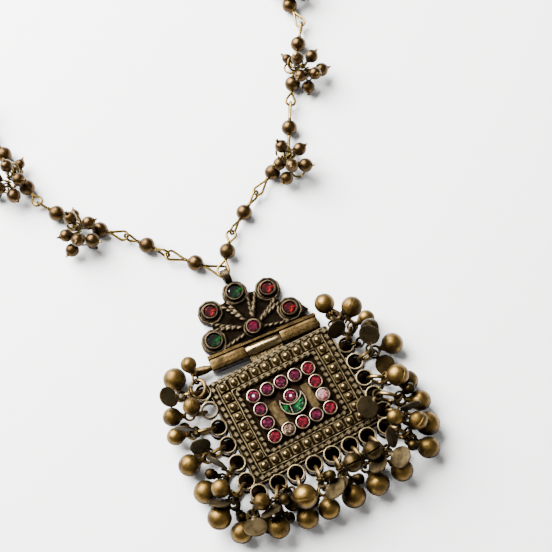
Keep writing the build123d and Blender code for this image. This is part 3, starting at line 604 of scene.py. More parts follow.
greenGlass = glassFinish("greenGlass", (0.0002, 0.0006, 0.0004), (0.0, 0.02, 0.002), (0.001, 0.2, 0.01),
                         turn=0.4, paintedGlow=0.3, spot=0.85)
clearGlass = glassFinish("clearGlass", (0.02, 0.009, 0.005), (0.12, 0.07, 0.045), (0.6, 0.5, 0.42), wedges=2,
                         turn=0.9, paintedGlow=0.1)


# the stones of the plate, counted from the lower left, that aren't plain red
magentaStones = (1, 2, 5, 7, 8, 9)
oddStones = {3: paintedGlintGlass, 4: clearGlass, 11: paleRedGlass, 14: paintedGlintGlass}


def plateStones():
    s, collars = stoneSize, newShape()
    for i, (x, y) in enumerate(ringSpots()):
        shades = magentaGlass if i in magentaStones else redGlass
        material = oddStones.get(i, shades[i % len(shades)])
        node = f"plate_stone_{i + 1}"
        stonePiece(f"plateStone{i + 1}", node, x, y, fieldTop + s["clear"], s["glass"], material, "plate",
                   i * 17)
        collar(collars, x, y, fieldTop, s["outer"], s["inner"], s["high"], i + 1)
    makePiece("plateCollars", collars, collarFinish, "plate")


crescentSize = {"place": (0.25, -0.1), "radius": 3.35, "hollowPlace": (0.3, 2.6), "hollow": 3.0, "wall": 0.27,
                "high": 1.5, "split": -0.95}


def crescentWalls():  # an upright strip along the crescent's outline, and the thin wall across it
    c, shape = crescentSize, newShape()
    (ax, ay), (bx, by) = c["place"], c["hollowPlace"]
    gap = math.hypot(bx - ax, by - ay)
    lean = math.atan2(by - ay, bx - ax)
    outerHalf = math.acos((gap ** 2 + c["radius"] ** 2 - c["hollow"] ** 2) / (2 * gap * c["radius"]))
    innerHalf = math.acos((gap ** 2 + c["hollow"] ** 2 - c["radius"] ** 2) / (2 * gap * c["hollow"]))
    outer = np.linspace(lean + outerHalf, lean + 2 * math.pi - outerHalf, 60)
    inner = np.linspace(lean + 2 * math.pi - (math.pi - innerHalf), lean + (math.pi - innerHalf), 40)
    middle = c["wall"] / 2
    front, back = c["radius"] - middle, c["hollow"] + middle
    path = [(ax + front * math.cos(a), ay + front * math.sin(a)) for a in outer]
    path += [(bx + back * math.cos(a), by + back * math.sin(a)) for a in inner[1:-1]]
    low, high = fieldTop - 0.05, fieldTop + c["high"] + 0.12
    strip(shape, path, middle, low, high, closed=True)
    top = by - math.sqrt(max(0.1, c["hollow"] ** 2 - (c["split"] - bx) ** 2))
    foot = ay - math.sqrt(c["radius"] ** 2 - (c["split"] - ax) ** 2)
    line = [(c["split"] + 0.25 * (t - 0.5), foot + (top - foot) * t) for t in np.linspace(0.04, 0.96, 8)]
    strip(shape, line, middle * 0.7, low, high - 0.1)
    return shape


def crescentGlass():  # green glass crushed, with painted flashes in its brightest cells and a painted glow, in both fields
    material, tree, shader = newFinish("crescentGreenGlass", {
        "Roughness": 0.12, "IOR": 1.6, "Coat Weight": 0.7, "Emission Strength": 0.2})
    where = addNode(tree, "ShaderNodeTexCoord").outputs["Object"]
    cells = addNode(tree, "ShaderNodeTexVoronoi", [("Vector", where), ("Scale", 1500.0)])
    shade = addNode(tree, "ShaderNodeSeparateXYZ", [(0, cells.outputs["Color"])]).outputs[0]
    colour = mixColours(tree, rangeOf(tree, shade, 0.1, 0.7), (0.0, 0.004, 0.0015, 1), (0.0, 0.036, 0.007, 1))
    # painted flashes: the brightest cells turn pale green
    colour = mixColours(tree, rangeOf(tree, shade, 0.75, 1.0), colour, (0.004, 0.16, 0.022, 1))
    tree.links.new(colour, shader.inputs["Base Color"])
    # painted glow: half the colour is given off as light
    tree.links.new(mixColours(tree, 0.5, colour, (0, 0, 0, 1)), shader.inputs["Emission Color"])
    facets = addNode(tree, "ShaderNodeBump", [("Height", cells.outputs["Distance"]), ("Strength", 0.7),
                                              ("Distance", 0.12 * mm)])
    tree.links.new(facets.outputs[0], shader.inputs["Normal"])
    for side in ("left", "right"):
        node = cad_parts[f"crescent_stone_{side}"]
        node.data.materials.clear()
        node.data.materials.append(material)


patchCorners = [[(-5.8, 2.3), (-3.4, 2.7), (-2.7, -4.0), (-5.1, -4.1)],
                [(3.8, 3.2), (5.9, 3.0), (5.9, -3.5), (4.1, -4.1)]]


def fieldPatches():  # the two places beside the crescent where the field is rubbed back to brass
    shape, n = newShape(), 14
    last = n * n  # the points of the top come first, those under them after
    rim = list(range(n)) + list(range(2 * n - 1, last, n))
    rim += list(range(last - 2, last - n - 1, -1)) + list(range(last - 2 * n, 0, -n))
    for corners in patchCorners:
        steps = np.linspace(0, 1, n)
        d, c, b, a = [np.array(p) for p in corners]
        grid = [(a + (b - a) * u) * (1 - v) + (d + (c - d) * u) * v for v in steps for u in steps]
        top = [(x, y, fieldTop + 0.13 + 0.07 * noise.noise(Vector((x * 1.1, y * 1.1, 2.0)))) for x, y in grid]
        edge = [(x, y, fieldTop - 0.1) for x, y in grid]
        faces = gridFaces(n, n, closeColumns=False)
        faces += [(a, a + last, b + last, b) for a, b in zip(rim, rim[1:] + rim[:1])]
        faces += [tuple(i + last for i in reversed(face)) for face in gridFaces(n, n, closeColumns=False)]
        addTo(shape, top + edge, faces)
    return shape


plateStones()
makePiece("crescentWalls", crescentWalls(), collarFinish, "plate")
crescentGlass()
makePiece("fieldPatches", fieldPatches(), patchFinish, "plate")
fieldFloor = newShape()
block(fieldFloor, flatPlace(0, 0, fieldTop - 0.04), (-9.8, -7.4, 0.0), (9.8, 7.9, 0.06), 0.03)
# dark pitch for the field floor, and the painted shadow under the loops
pitchAndShadowFinish = metalFinish("fieldPitchAndLoopShadow", (0.008, 0.0045, 0.0026), (0.002, 0.0012, 0.0007), (0.03, 0.018, 0.01),
                          rub=0.2, rough=0.5, bump=0.12)
makePiece("fieldFloor", fieldFloor, pitchAndShadowFinish, "plate")
print("stones made")


# hinge and crest
hingeSize = {"place": (1.15, 16.8), "askew": -4.3, "high": 1.8, "left": -14.6, "right": 14.7,
             "midLeft": -5.0, "midRight": 4.5, "gap": 0.2, "tab": (0.9, 2.3),
             # radius, squareness (2 is round, higher is boxier), and how much thinner at the ends
             "outerKnuckle": (1.6, 6.5, 0.0), "middleKnuckle": (1.7, 2.1, 0.06),
             # seam of the rolled sheet: degrees round, half width in degrees, depth as a share
             "seam": (118, 4, 0.05), "pinBend": 8.0}
hingePlace = flatPlace(*hingeSize["place"], 0, hingeSize["askew"])


def knuckle(shape, low, high, radius, squareness, barrel):
    h = hingeSize
    steps, sides = max(4, int((high - low) / 0.6)), 48
    a = turnAngles(sides)
    reach = radius / (np.abs(np.cos(a)) ** squareness + np.abs(np.sin(a)) ** squareness) ** (1 / squareness)
    seamAt, seamHalf, seamDeep = h["seam"]
    reach = reach * (1 - seamDeep * np.exp(-((np.degrees(a) - seamAt) / seamHalf) ** 2))
    rings = []
    for i, x in enumerate(np.linspace(low, high, steps)):
        ease = 0.93 if i in (0, steps - 1) else 1.0
        ease *= 1 - barrel * (2 * x - low - high) ** 2 / (high - low) ** 2
        spots = [(x * 0.4, math.cos(t) * 0.7, math.sin(t) * 0.7) for t in a]
        dent = np.array([noise.noise(Vector(spot)) for spot in spots])
        r = reach * ease * (1 + 0.02 * dent)
        rings.append(np.c_[np.full(sides, x), r * np.cos(a), h["high"] + r * np.sin(a)])
    faces = gridFaces(steps, sides) + endFaces(steps, sides)
    addTo(shape, at(hingePlace, np.concatenate(rings)), faces)


def hingePieces():
    h = hingeSize
    outer, middle, pin = newShape(), newShape(), newShape()
    half, (foot, top) = h["gap"] / 2, h["tab"]
    for low, high in ((h["left"], h["midLeft"] - half), (h["midRight"] + half, h["right"])):
        knuckle(outer, low, high, *h["outerKnuckle"])
        block(outer, hingePlace, (low, 0.4, foot), (high, 3.0, top), 0.12)
    knuckle(middle, h["midLeft"] + half, h["midRight"] - half, *h["middleKnuckle"])
    block(middle, hingePlace, (h["midLeft"] + 0.2, -3.2, foot), (h["midRight"] - 0.2, -0.4, top), 0.12)
    start = h["left"] - 0.5
    bend = math.radians(h["pinBend"])
    path = [(h["right"] + 0.35, 0, h["high"]), (0, 0, h["high"]), (start + 0.4, 0, h["high"])]
    for t in (0.3, 1.0, 2.2, 3.6, 4.6):  # the bent end, t millimetres past the knuckle
        path.append((start - t * math.cos(bend), t * math.sin(bend), h["high"] - 0.05 * t))
    radii = [(0.75, 0.75)] * 3 + [(0.9, 0.8), (1.1, 0.72), (1.25, 0.66), (1.2, 0.62), (0.9, 0.5)]
    tube(pin, at(hingePlace, path), np.array(radii), 12)
    makePiece("outerKnuckles", outer, knuckleFinish, "crest_and_chain")
    makePiece("middleKnuckle", middle, polishedFinish, "plate")
    makePiece("hingePin", pin, knuckleFinish, "crest_and_chain", ["hinge_pin"])


crestSize = {
    "thick": 1.6, "foot": 2.3, "half": 14.3, "hub": (-0.75, 5.55), "lobe": 3.3, "rim": 0.42,
    "hubStone": 1.6, "petalOuter": 2.4, "high": 1.5, "red": 1.72, "green": 1.98,
    "ridge": 0.36, "ridgePitch": 2.8, "ridgeStart": 2.5, "spread": 2.85, "startSpread": 0.95,
    "ridgeShort": 1.5, "tip": (14.2, 4.75),
    # angle, reach from the hub, stone
    "petals": [(177, 10.6, "green"), (136, 11.8, "red"), (94, 10.7, "green"), (48, 11.0, "red"),
               (5, 10.45, "red")],
    "bailReach": 15.6, "bail": 1.62, "bailThick": 0.28, "bailWide": 1.9, "bailHigh": 2.62, "voxel": 0.15,
}
bailAngle, topReach = crestSize["petals"][2][:2]  # the bail stands past the petal at the top


def crestPoint(angle, reach, aside=0.0, z=0.0):
    a = math.radians(angle)
    hx, hy = crestSize["hub"]
    return (hx + reach * math.cos(a) - aside * math.sin(a), hy + reach * math.sin(a) + aside * math.cos(a), z)


def crestSpot(angle, reach):
    return at(hingePlace, crestPoint(angle, reach))[:2]


def rope(shape, start, finish, radius, pitch):  # two strands twisted together
    start, finish = np.asarray(start, float), np.asarray(finish, float)
    run = finish - start
    length = np.linalg.norm(run)
    ahead = run / length
    across = unit(np.cross(ahead, (0, 0, 1)))
    up = np.cross(across, ahead)
    t = np.linspace(0, 1, max(8, int(length / 0.18)))[:, None]
    for strand in (0, math.pi):
        turn = 2 * math.pi * t * length / pitch + strand
        path = start + run * t + radius * 0.42 * (np.cos(turn) * across + np.sin(turn) * up)
        tube(shape, path, radius * 0.7, 7)


def prism(shape, outline, low, high):
    count = len(outline)
    points = [(x, y, low) for x, y in outline] + [(x, y, high) for x, y in outline]
    addTo(shape, points, gridFaces(2, count) + endFaces(2, count))


def crestCast():
    c, shape = crestSize, newShape()
    spots = [crestPoint(*row[:2])[:2] for row in c["petals"]]
    prism(shape, [(-c["half"], c["foot"]), (c["half"], c["foot"])] + spots[::-1], 0.0, c["thick"])
    steps, waves = 72, 9
    wave = np.array([1 + 0.022 * math.sin(k / steps * 2 * math.pi * waves) for k in range(steps)])[:, None]
    for x, y in spots:
        lathe(shape, ((x, y, 0), standing), [(0, c["lobe"]), (c["thick"], c["lobe"])], 48)
        scallop = circlePath(flatPlace(x, y, c["thick"] + 0.12), c["lobe"] - c["rim"] + 0.05, steps)
        scallop = (scallop - (x, y, 0)) * np.c_[wave, wave, np.ones(steps)] + (x, y, 0)
        tube(shape, scallop, c["rim"], 10, closed=True)
    x, y = spots[-1]
    prism(shape, [(x + 0.4, y - 3.1), c["tip"], (x + 2.9, y + 0.6), (x, y + 2.8)], 0.1, c["thick"] + 0.1)
    for angle, reach, _ in c["petals"]:
        for side in (-1, 1):
            start = crestPoint(angle, c["ridgeStart"], side * c["startSpread"], c["thick"] + 0.12)
            end = crestPoint(angle, reach - c["ridgeShort"], side * c["spread"], c["thick"] + 0.12)
            rope(shape, start, end, c["ridge"] * 1.6, c["ridgePitch"])
    neckLow, neckHigh = topReach + c["petalOuter"] - 0.2, c["bailReach"] - c["bail"] + 0.2
    neck = [crestPoint(bailAngle, r, s * w) for r, s, w in
            ((neckLow, -1, 1.15), (neckHigh, -1, 0.8), (neckHigh, 1, 0.8), (neckLow, 1, 1.15))]
    prism(shape, [p[:2] for p in neck], 0.3, c["bailHigh"] - 0.1)
    shape["points"] = [at(hingePlace, p) for p in shape["points"]]
    piece = makePiece("crestCast", shape, crestFinish, "crest_and_chain", ["crest"])
    melt = piece.modifiers.new("melt", "REMESH")
    melt.mode, melt.voxel_size = "VOXEL", c["voxel"] * mm
    soften = piece.modifiers.new("soften", "SMOOTH")
    soften.factor, soften.iterations = 0.5, 2
    thin = piece.modifiers.new("thin", "DECIMATE")
    thin.ratio = 0.55
    result = bpy.data.meshes.new_from_object(piece.evaluated_get(bpy.context.evaluated_depsgraph_get()))
    piece.modifiers.clear()
    piece.data = result
    points = np.empty(len(result.vertices) * 3)
    result.vertices.foreach_get("co", points)
    points = points.reshape(-1, 3)
    lift = np.array([noise.noise(Vector(p * 900)) for p in points])[:, None]
    points += lift * np.array((0.03, 0.03, 0.05)) * mm * (points[:, 2:] > 0.2 * mm)
    result.vertices.foreach_set("co", points.ravel())
    result.shade_smooth()
    print("crest cast:", len(result.polygons), "faces")


def crestTrim():
    c, shape = crestSize, newShape()
    for i, (angle, reach, stone) in enumerate(c["petals"]):
        x, y = crestSpot(angle, reach)
        radius = c[stone]
        collar(shape, x, y, c["thick"] - 0.1, radius + 0.42, radius + 0.04, c["high"] + 0.15, i + 21)
        tube(shape, circlePath(flatPlace(x, y, c["thick"] + 0.2), radius + 0.62, 36), 0.24, 8, closed=True)
    hubX, hubY = crestSpot(0, 0)
    radius = c["hubStone"]
    collar(shape, hubX, hubY, c["thick"] - 0.1, radius + 0.5, radius + 0.04, c["high"] + 0.15, 31)
    tube(shape, circlePath(flatPlace(hubX, hubY, c["thick"] + 0.15), radius + 0.72, 36), 0.26, 8, closed=True)
    makePiece("crestTrim", shape, crestFinish, "crest_and_chain")
    for i, (angle, reach, stone) in enumerate(c["petals"]):
        x, y = crestSpot(angle, reach)
        material = greenGlass if stone == "green" else crestRed
        stonePiece(f"petalStone{i + 1}", f"petal_stone_{i + 1}", x, y, c["thick"] + 0.08, c[stone], material,
                   "crest_and_chain", i * 23)
    stonePiece("crestStone", "crest_stone", hubX, hubY, c["thick"] + 0.08, c["hubStone"], crestRuby,
               "crest_and_chain", 5)


def footStrip():  # the folded edge of sheet that stands over the hinge
    c, shape = crestSize, newShape()
    count = 40
    line = [(x, 2.2, 0) for x in np.linspace(hingeSize["left"], hingeSize["right"] + 0.2, count)]
    strip(shape, at(hingePlace, wander(np.array(line), 0.07)), 0.33, 0.4, c["thick"] + 1.3)
    makePiece("footStrip", shape, knuckleFinish, "crest_and_chain")


def bailPiece():
    c, shape = crestSize, newShape()
    a = math.radians(bailAngle + hingeSize["askew"])
    axis = np.array((-math.sin(a), math.cos(a), 0))
    out = np.array((math.cos(a), math.sin(a), 0))
    middle = crestSpot(bailAngle, c["bailReach"])
    place = ((middle[0], middle[1], c["bailHigh"]), (axis, out, (0, 0, 1)))
    half, thick, r = c["bailWide"] / 2, c["bailThick"], c["bail"]
    profile = [(-half, r - thick + 0.05), (-half, r + thick - 0.1), (-half + 0.15, r + thick),
               (0, r + thick - 0.06), (half - 0.15, r + thick), (half, r + thick - 0.1),
               (half, r - thick + 0.05), (0, r - thick)]
    lathe(shape, place, profile, 40, closed=True)
    makePiece("bail", shape, crestFinish, "crest_and_chain")


hingePieces()
crestCast()
crestTrim()
footStrip()
bailPiece()
print("crest and hinge made")


# fringe: loops on the plate's edge, rings in them, bells and discs on the rings
fringeSize = {
    "loop": 1.9, "loopWire": 0.35, "loopHigh": 2.5, "strip": (-0.75, 1.25), "stripThick": 0.17,
    "stripOut": 0.08, "stripGuard": ((1.9, 2.6, 3.4), 0.24),  # heights and reach kept clear round a loop
    "ringWire": 0.42, "ringThick": 0.5, "scroll": ((-17.3, 10.9), (-19.9, 9.5)), "openLoop": "L2",
    "eye": 1.2, "eyeWire": 0.3, "collarHigh": 0.85, "slit": 0.38, "slitShare": 0.3, "discThick": 0.36,
    "discTab": 0.25, "clear": 0.12, "pull": 0.9, "lift": 0.03,
    # the small parts behind: how many of each on a carrier, how many carriers, the wire of a ring,
    # how flat a disc has to lie and how low, and then what is tried, in this order
    "crowdMost": {"bell": 4, "ring": 6, "disc": 3}, "crowdCarriers": 240, "crowdWire": 0.36,
    "crowdFlat": 0.45, "crowdLow": 3,
    "crowd": [("bell", around, lean, size, 0) for size in (2.4, 2.0, 1.4)
              for around in (0, 18, -18, 40, -40, 75) for lean in (-60, 60, -35, 35, -85, 85)]
    + [("disc", around, lean, size, turn) for size in (2.5, 2.0, 1.5)
       for around in (0, 25, -25, 55, -55, 85, -85) for lean in (0, 40, -40, 75, -75)
       for turn in (0, 90, 45, -45)]
    + [("ring", around, lean, 1.35, 0) for around in (60, 20, 0, -20, -60) for lean in (0, 45, -45, 80, -80)],
}
# where a small part may hang: clear of the plate's outline, the floor and each other
roomSize = {
    "side": 17.5, "head": 19.5, "foot": -14.9, "overPlate": 3.9, "floor": 0.03, "gap": 0.04,
    "ball": 1.2, "ballMargin": 4.6,  # what reaches further than this is a ball, and stays this far out
    "wire": 0.6, "far": 14,  # a thinner part may meet its own carrier; starts further apart never touch
}
loops = {
    "L1": (-18.3, 12.6), "L2": (-18.9, 7.8), "L3": (-18.9, 2.8), "L4": (-18.9, -2.2), "L5": (-18.9, -7.3),
    "L6": (-18.9, -12.3),
    "B1": (-17.6, -16.3), "B2": (-12.4, -16.3), "B3": (-7.4, -16.3), "B4": (-2.5, -16.3),
    "B5": (2.5, -16.3), "B6": (7.4, -16.3), "B7": (12.3, -16.3), "B8": (17.5, -16.3),
    "R1": (18.9, 6.7), "R2": (18.9, 1.8), "R3": (18.9, -3.0), "R4": (18.9, -7.8), "R5": (18.9, -12.4),
}
# name, what it hangs on, kind, angle round that, lean to the side, radius, turn about its own stem
fringe = [
    ("ring_L1", "L1", "ring", 165, 0, 2.3, 0),
    ("A", "ring_L1", "slit bell", 2, 82, 2.85, 0),
    ("C", "ring_L1", "bell", 88, -62, 2.2, 0),
    ("D1", "ring_L1", "disc", 40, -5, 2.7, 90),
    ("ring_L1_far", "ring_L1", "ring", 150, 78, 2.2, 0),
    ("A2", "ring_L1_far", "bell", 12, 28, 2.0, 0),
    ("ring_L2", "L2", "ring", 165, 0, 1.9, 20),
    ("B", "ring_L2", "bell", 3, 8, 2.3, 0),
    ("ring_L3", "L3", "ring", 166, 0, 2.7, 10),
    ("D", "ring_L3", "bell", 1, 5, 2.15, 0),
    ("D2", "ring_L3", "disc", 50, 15, 2.6, 10),
    ("ring_L4", "L4", "ring", 186, 0, 2.3, 0),
    ("E", "ring_L4", "slit bell", 3, 12, 2.7, 0),
    ("D3", "ring_L4", "disc", 62, 30, 2.6, 0),
    ("ring_L5", "L5", "ring", 206, 0, 2.2, 0),
    ("F", "ring_L5", "bell", 4, 22, 2.9, 0),
    ("D4", "ring_L5", "disc", 85, 40, 2.9, 80),
    ("ring_L6", "L6", "ring", 212, 0, 2.7, 0),
    ("G", "ring_L6", "bell", 15, 8, 2.9, 0),
    ("D5", "ring_L6", "disc", 42, 28, 2.7, 60),
    ("G2", "ring_L6", "bell", 70, 50, 2.3, 0),
    ("ring_B1", "B1", "ring", 226, 0, 2.3, 0),
    ("H2", "ring_B1", "bell", 3, 15, 2.6, 0),
    ("D6", "ring_B1", "disc", 34, -24, 2.9, 80),
    ("H3", "ring_B1", "bell", 92, -25, 2.1, 0),
    ("ring_B2", "B2", "ring", 238, 0, 2.7, 0),
    ("H", "ring_B2", "slit bell", 14, -12, 2.7, 0),
    ("D7", "ring_B2", "disc", 50, 12, 2.7, 60),
    ("ring_B3", "B3", "ring", 256, 0, 2.6, 0),
    ("J", "ring_B3", "slit bell", 3, 0, 2.7, 0),
    ("I", "ring_B3", "bell", 60, -5, 2.95, 0),
    ("ring_B4", "B4", "ring", 262, 0, 2.9, 0),
    ("K", "ring_B4", "bell", 3, 5, 2.6, 0),
    ("D8", "ring_B4", "disc", 48, -28, 2.9, 60),
    ("ring_B5", "B5", "ring", 268, 0, 2.7, 0),
    ("L", "ring_B5", "bell", 4, 0, 2.9, 0),
    ("D14", "ring_B5", "disc", 40, 30, 2.6, 60),
    ("ring_B6", "B6", "ring", 276, 0, 2.8, 0),
    ("M", "ring_B6", "slit bell", 4, 0, 2.85, 0),
    ("D15", "ring_B6", "disc", 45, -30, 2.6, 70),
    ("ring_B7", "B7", "ring", 285, 0, 3.0, 0),
    ("S", "ring_B7", "bell", 3, 0, 2.7, 0),
    ("D11", "ring_B7", "disc", 36, -15, 2.8, 70),
    ("ring_B8", "B8", "ring", 304, 0, 2.8, 0),
    ("O", "ring_B8", "bell", 3, 0, 2.7, 0),
    ("S2", "ring_B8", "bell", 60, -50, 2.3, 0),
    ("D16", "ring_B8", "disc", 98, 52, 2.5, 50),
    ("ring_R1", "R1", "ring", 46, 0, 2.2, 0),
    ("V", "ring_R1", "bell", 1, 42, 2.1, 0),
    ("D12", "ring_R1", "disc", 103.5, -42.8, 2.6, 26),
    ("ring_R1_far", "ring_R1", "ring", 63.9, -76.6, 2.8, 0),
    ("U", "ring_R1_far", "bell", 84, -6, 2.6, 0),
    ("T", "ring_R1_far", "bell", 19, 25, 2.55, 0),
    ("ring_R2", "R2", "ring", 4, 0, 2.3, 0),
    ("W", "ring_R2", "slit bell", 3, 10, 2.7, 0),
    ("D13", "ring_R2", "disc", 62, -40, 2.7, 60),
    ("ring_R3", "R3", "ring", 328, 0, 2.4, 0),
    ("R", "ring_R3", "bell", 3, 0, 2.6, 0),
    ("Q", "ring_R3", "bell", 52, 5, 2.75, 0),
    ("ring_R4", "R4", "ring", 320, 0, 2.8, 0),
    ("P", "ring_R4", "bell", 3, -8, 2.6, 0),
    ("D9", "ring_R4", "disc", 158, 62, 2.85, 88),
    ("ring_R5", "R5", "ring", 314, 0, 2.6, 0),
    ("N", "ring_R5", "slit bell", 4, 0, 2.95, 0),
    ("D10", "ring_R5", "disc", 66, -18, 2.6, -34),
    ("P2", "ring_R5", "bell", 90, 35, 2.1, 0),
]
granulated = ("T", "L", "U", "I", "S", "Q")  # bells with two rings of grains round the neck
# from the middle of a bell's eye, and its radius there
bellNeck = [(-0.35, 0.42), (-0.05, 0.62), (0.15, 0.78), (0.35, 0.6), (0.6, 0.72), (0.85, 1.0), (1.15, 1.18)]
bellGrains = ((0.2, 0.86, 0.42), (0.62, 1.02, 0.44))  # from the eye, radius of the ring, of a grain


def hung(carrier, around, side, radius, wire, turn=0.0):  # the same rule as in the part: place, radius, wire
    (origin, (x, y, z)), carrierRadius, carrierWire = carrier
    x, y, z = np.array(x), np.array(y), np.array(z)
    around, side, turn = math.radians(around), math.radians(side), math.radians(turn)
    out = x * math.cos(around) + y * math.sin(around)
    along = y * math.cos(around) - x * math.sin(around)
    stem = out * math.cos(side) + z * math.sin(side)
    over = (z * math.cos(side) - out * math.sin(side)) * math.cos(turn) + along * math.sin(turn)
    room = radius - carrierWire - wire - fringeSize["clear"]
    middle = np.array(origin) + out * carrierRadius + stem * (fringeSize["pull"] * room)
    normal = np.cross(stem, over)
    return (middle, (stem, np.cross(normal, stem), normal)), radius, wire


def lifted(circle):
    (middle, axes), radius, wire = circle
    rise = max(0.0, radius + wire + fringeSize["lift"] - middle[2])
    return (middle + (0, 0, rise), axes), radius, wire


def wireRing(shape, place, radius, wire, gapAt):  # a ring bent from wire, its ends just apart
    gap = 6  # degrees
    tube(shape, circlePath(place, radius, 44, gapAt + gap / 2, 360 - gap), wire, 10)


def bell(shape, place, radius, slit, grains, seed):
    f = fringeSize
    axes = np.asarray(place[1], float)
    middle = f["eye"] + f["collarHigh"] + radius
    half = f["slit"] / 2
    heights = [0, half * 0.55, half, half + 0.05, half + 0.22, half + 0.4]
    heights += list(radius * np.sin(np.linspace(math.asin((half + 0.6) / radius), math.pi / 2, 9)[:-1]))
    heights = [-h for h in reversed(heights[1:])] + heights
    segments = 40
    angles = turnAngles(segments)
    points = []
    for z in heights:
        across = math.sqrt(max(radius ** 2 - z ** 2, 0.01))
        x, y = across * np.cos(angles), across * np.sin(angles)
        swell = np.full(segments, 1.0)
        if abs(z) <= half + 0.01:
            swell[:] = 1.022 if not slit else 1.0
            if slit:
                swell[x > radius * f["slitShare"] - 0.3] = 0.995 if abs(z) > half - 0.01 else 0.62
        elif abs(z) < half + 0.3:
            swell[:] = 1.02 if slit else 0.98
        spots = [(x[k] * 0.5, y[k] * 0.5 + seed * 5, z * 0.5) for k in range(segments)]
        lump = np.array([noise.noise(Vector(spot)) for spot in spots])
        swell = swell * (1 + 0.02 * lump)
        points.append(np.c_[x * swell, y * swell, np.full(segments, z)])
    points = np.concatenate(points + [[(0, 0, -radius), (0, 0, radius)]])
    faces = gridFaces(len(heights), segments) + poleFaces(len(heights), segments)
    addTo(shape, at(place, points + (middle, 0, 0)), faces)
    lathe(shape, place, [(f["eye"] + along, reach) for along, reach in bellNeck], 20)
    if grains:
        around = 8
        for row, (along, reach, size) in enumerate(bellGrains):
            for k in range(around):
                a = 2 * math.pi * (k + row / 2) / around
                spot = at(place, (f["eye"] + along, reach * math.cos(a), reach * math.sin(a)))
                ball(shape, (spot, axes), size, 12, 8)
    wireRing(shape, place, f["eye"], f["eyeWire"], 170)


def disc(shape, place, radius, turn, seed):
    f = fringeSize
    origin, stem = np.asarray(place[0], float), np.asarray(place[1][0], float)
    middle, across, normal = discFrame(place, radius, turn)
    half = f["discThick"] / 2
    rings = [(0.3, half + 0.05), (0.62, half + 0.03), (0.86, half), (0.955, half), (1.0, half * 0.4),
             (1.0, -half * 0.4), (0.955, -half), (0.86, -half), (0.62, -half + 0.03), (0.3, -half + 0.05)]
    segments = 44
    a = turnAngles(segments)
    points = []
    for share, high in rings:
        r = radius * share * (1 + 0.012 * np.sin(a * 3 + seed) + 0.008 * np.sin(a * 7 + seed * 2))
        x, y = r * np.cos(a), r * np.sin(a)
        spots = [(x[k] * 0.35, y[k] * 0.35, seed * 4.1) for k in range(segments)]
        bend = np.array([noise.noise(Vector(spot)) for spot in spots]) * 0.22
        points.append(middle + x[:, None] * stem + y[:, None] * across + (high + bend)[:, None] * normal)
    faces = gridFaces(len(rings), segments) + endFaces(len(rings), segments)
    addTo(shape, np.concatenate(points), faces)
    tab = [origin + stem * (f["eye"] - 0.25 + t) for t in (0, 0.25, 0.55, 0.9, 1.2)]
    tube(shape, tab, np.array([(0.3, 0.34), (0.55, 0.36), (0.6, 0.3), (0.75, 0.24), (0.85, 0.2)]), 12)
    wireRing(shape, place, f["eye"], f["eyeWire"], 175)


def inwardFrom(x, y):  # from a loop towards the plate; the loops at the sides stand further out
    return unit((-x, 0, 0) if abs(x) > 17.9 else (0, -y, 0))


def stripLoops():  # each loop is a strip bent round, standing on edge
    f = fringeSize
    shape = newShape()
    (low, high), thick, r = f["strip"], f["stripThick"], f["loop"] + f["stripOut"]
    profile = [(low, r - thick), (low, r + thick - 0.06), (low + 0.06, r + thick),
               (high - 0.1, r + thick + 0.03), (high, r + thick - 0.02), (high + 0.03, r + 0.02),
               (high, r - thick + 0.03), (high - 0.1, r - thick)]
    for i, (x, y) in enumerate(loops.values()):
        lean = noise.noise_vector(Vector((i * 1.7, 0.4, 0.2))) * 0.1
        axis = unit((lean.x, lean.y, 1))
        side = unit(np.cross((0, 1, 0), axis))
        lathe(shape, ((x, y, f["loopHigh"]), (axis, side, np.cross(axis, side))), profile, 40, closed=True)
        inward = inwardFrom(x, y)
        foot = np.array((x, y, f["loopHigh"] - 0.25)) + inward * (r + 0.1)
        footPlace = (foot, (inward, np.cross((0, 0, 1), inward), (0, 0, 1)))
        block(shape, footPlace, (-0.35, -0.8, -0.5), (0.7, 0.8, 0.5))
    start, finish = np.array(f["scroll"])
    middle, tall = f["loopHigh"] + (low + high) / 2, (high - low) / 2
    line = [start + (finish - start) * t for t in np.linspace(-0.12, 1.12, 9)]
    strip(shape, line, thick, middle - tall, middle + tall)
    return shape


def shadowDiscsUnderLoops():  # painted shadow: dark discs under all loops but the open one
    f, shape = fringeSize, newShape()
    for name, (x, y) in loops.items():
        if name != f["openLoop"]:
            middle = np.array((x, y, 0.0)) - inwardFrom(x, y) * 0.1
            lathe(shape, (middle, standing), [(0.03, 2.2), (0.16, 2.25), (0.2, 2.1)], 32)
    return shape


def discFrame(place, radius, turn):  # middle, across and normal of a disc hung at a place
    f = fringeSize
    origin, (stem, y, z) = np.asarray(place[0], float), np.asarray(place[1], float)
    tilt = math.radians(90 - turn)
    across = y * math.cos(tilt) + z * math.sin(tilt)
    return origin + stem * (f["eye"] + f["discTab"] + radius), across, z * math.cos(tilt) - y * math.sin(tilt)


def takenBy(kind, place, size, turn=0.0):  # the room that a hung thing takes: points, each with a reach
    f = fringeSize
    if kind == "ring":
        return [(circlePath(place, size, 30), f["ringThick"])]
    rooms = [(circlePath(place, f["eye"], 16), f["eyeWire"])]
    if kind == "disc":
        middle, across = discFrame(place, size, turn)[:2]
        stem = np.asarray(place[1][0], float)
        angles = turnAngles(22)[:, None]
        for share in (0.3, 0.65, 0.97):
            circle = middle + share * size * (stem * np.cos(angles) + across * np.sin(angles))
            rooms.append((circle, f["discThick"]))
        return rooms
    along = [(f["eye"] + f["collarHigh"] * 0.5, 0, 0), (f["eye"] + f["collarHigh"] + size, 0, 0)]
    return rooms + [(at(place, along[:1]), 1.0), (at(place, along[1:]), size)]


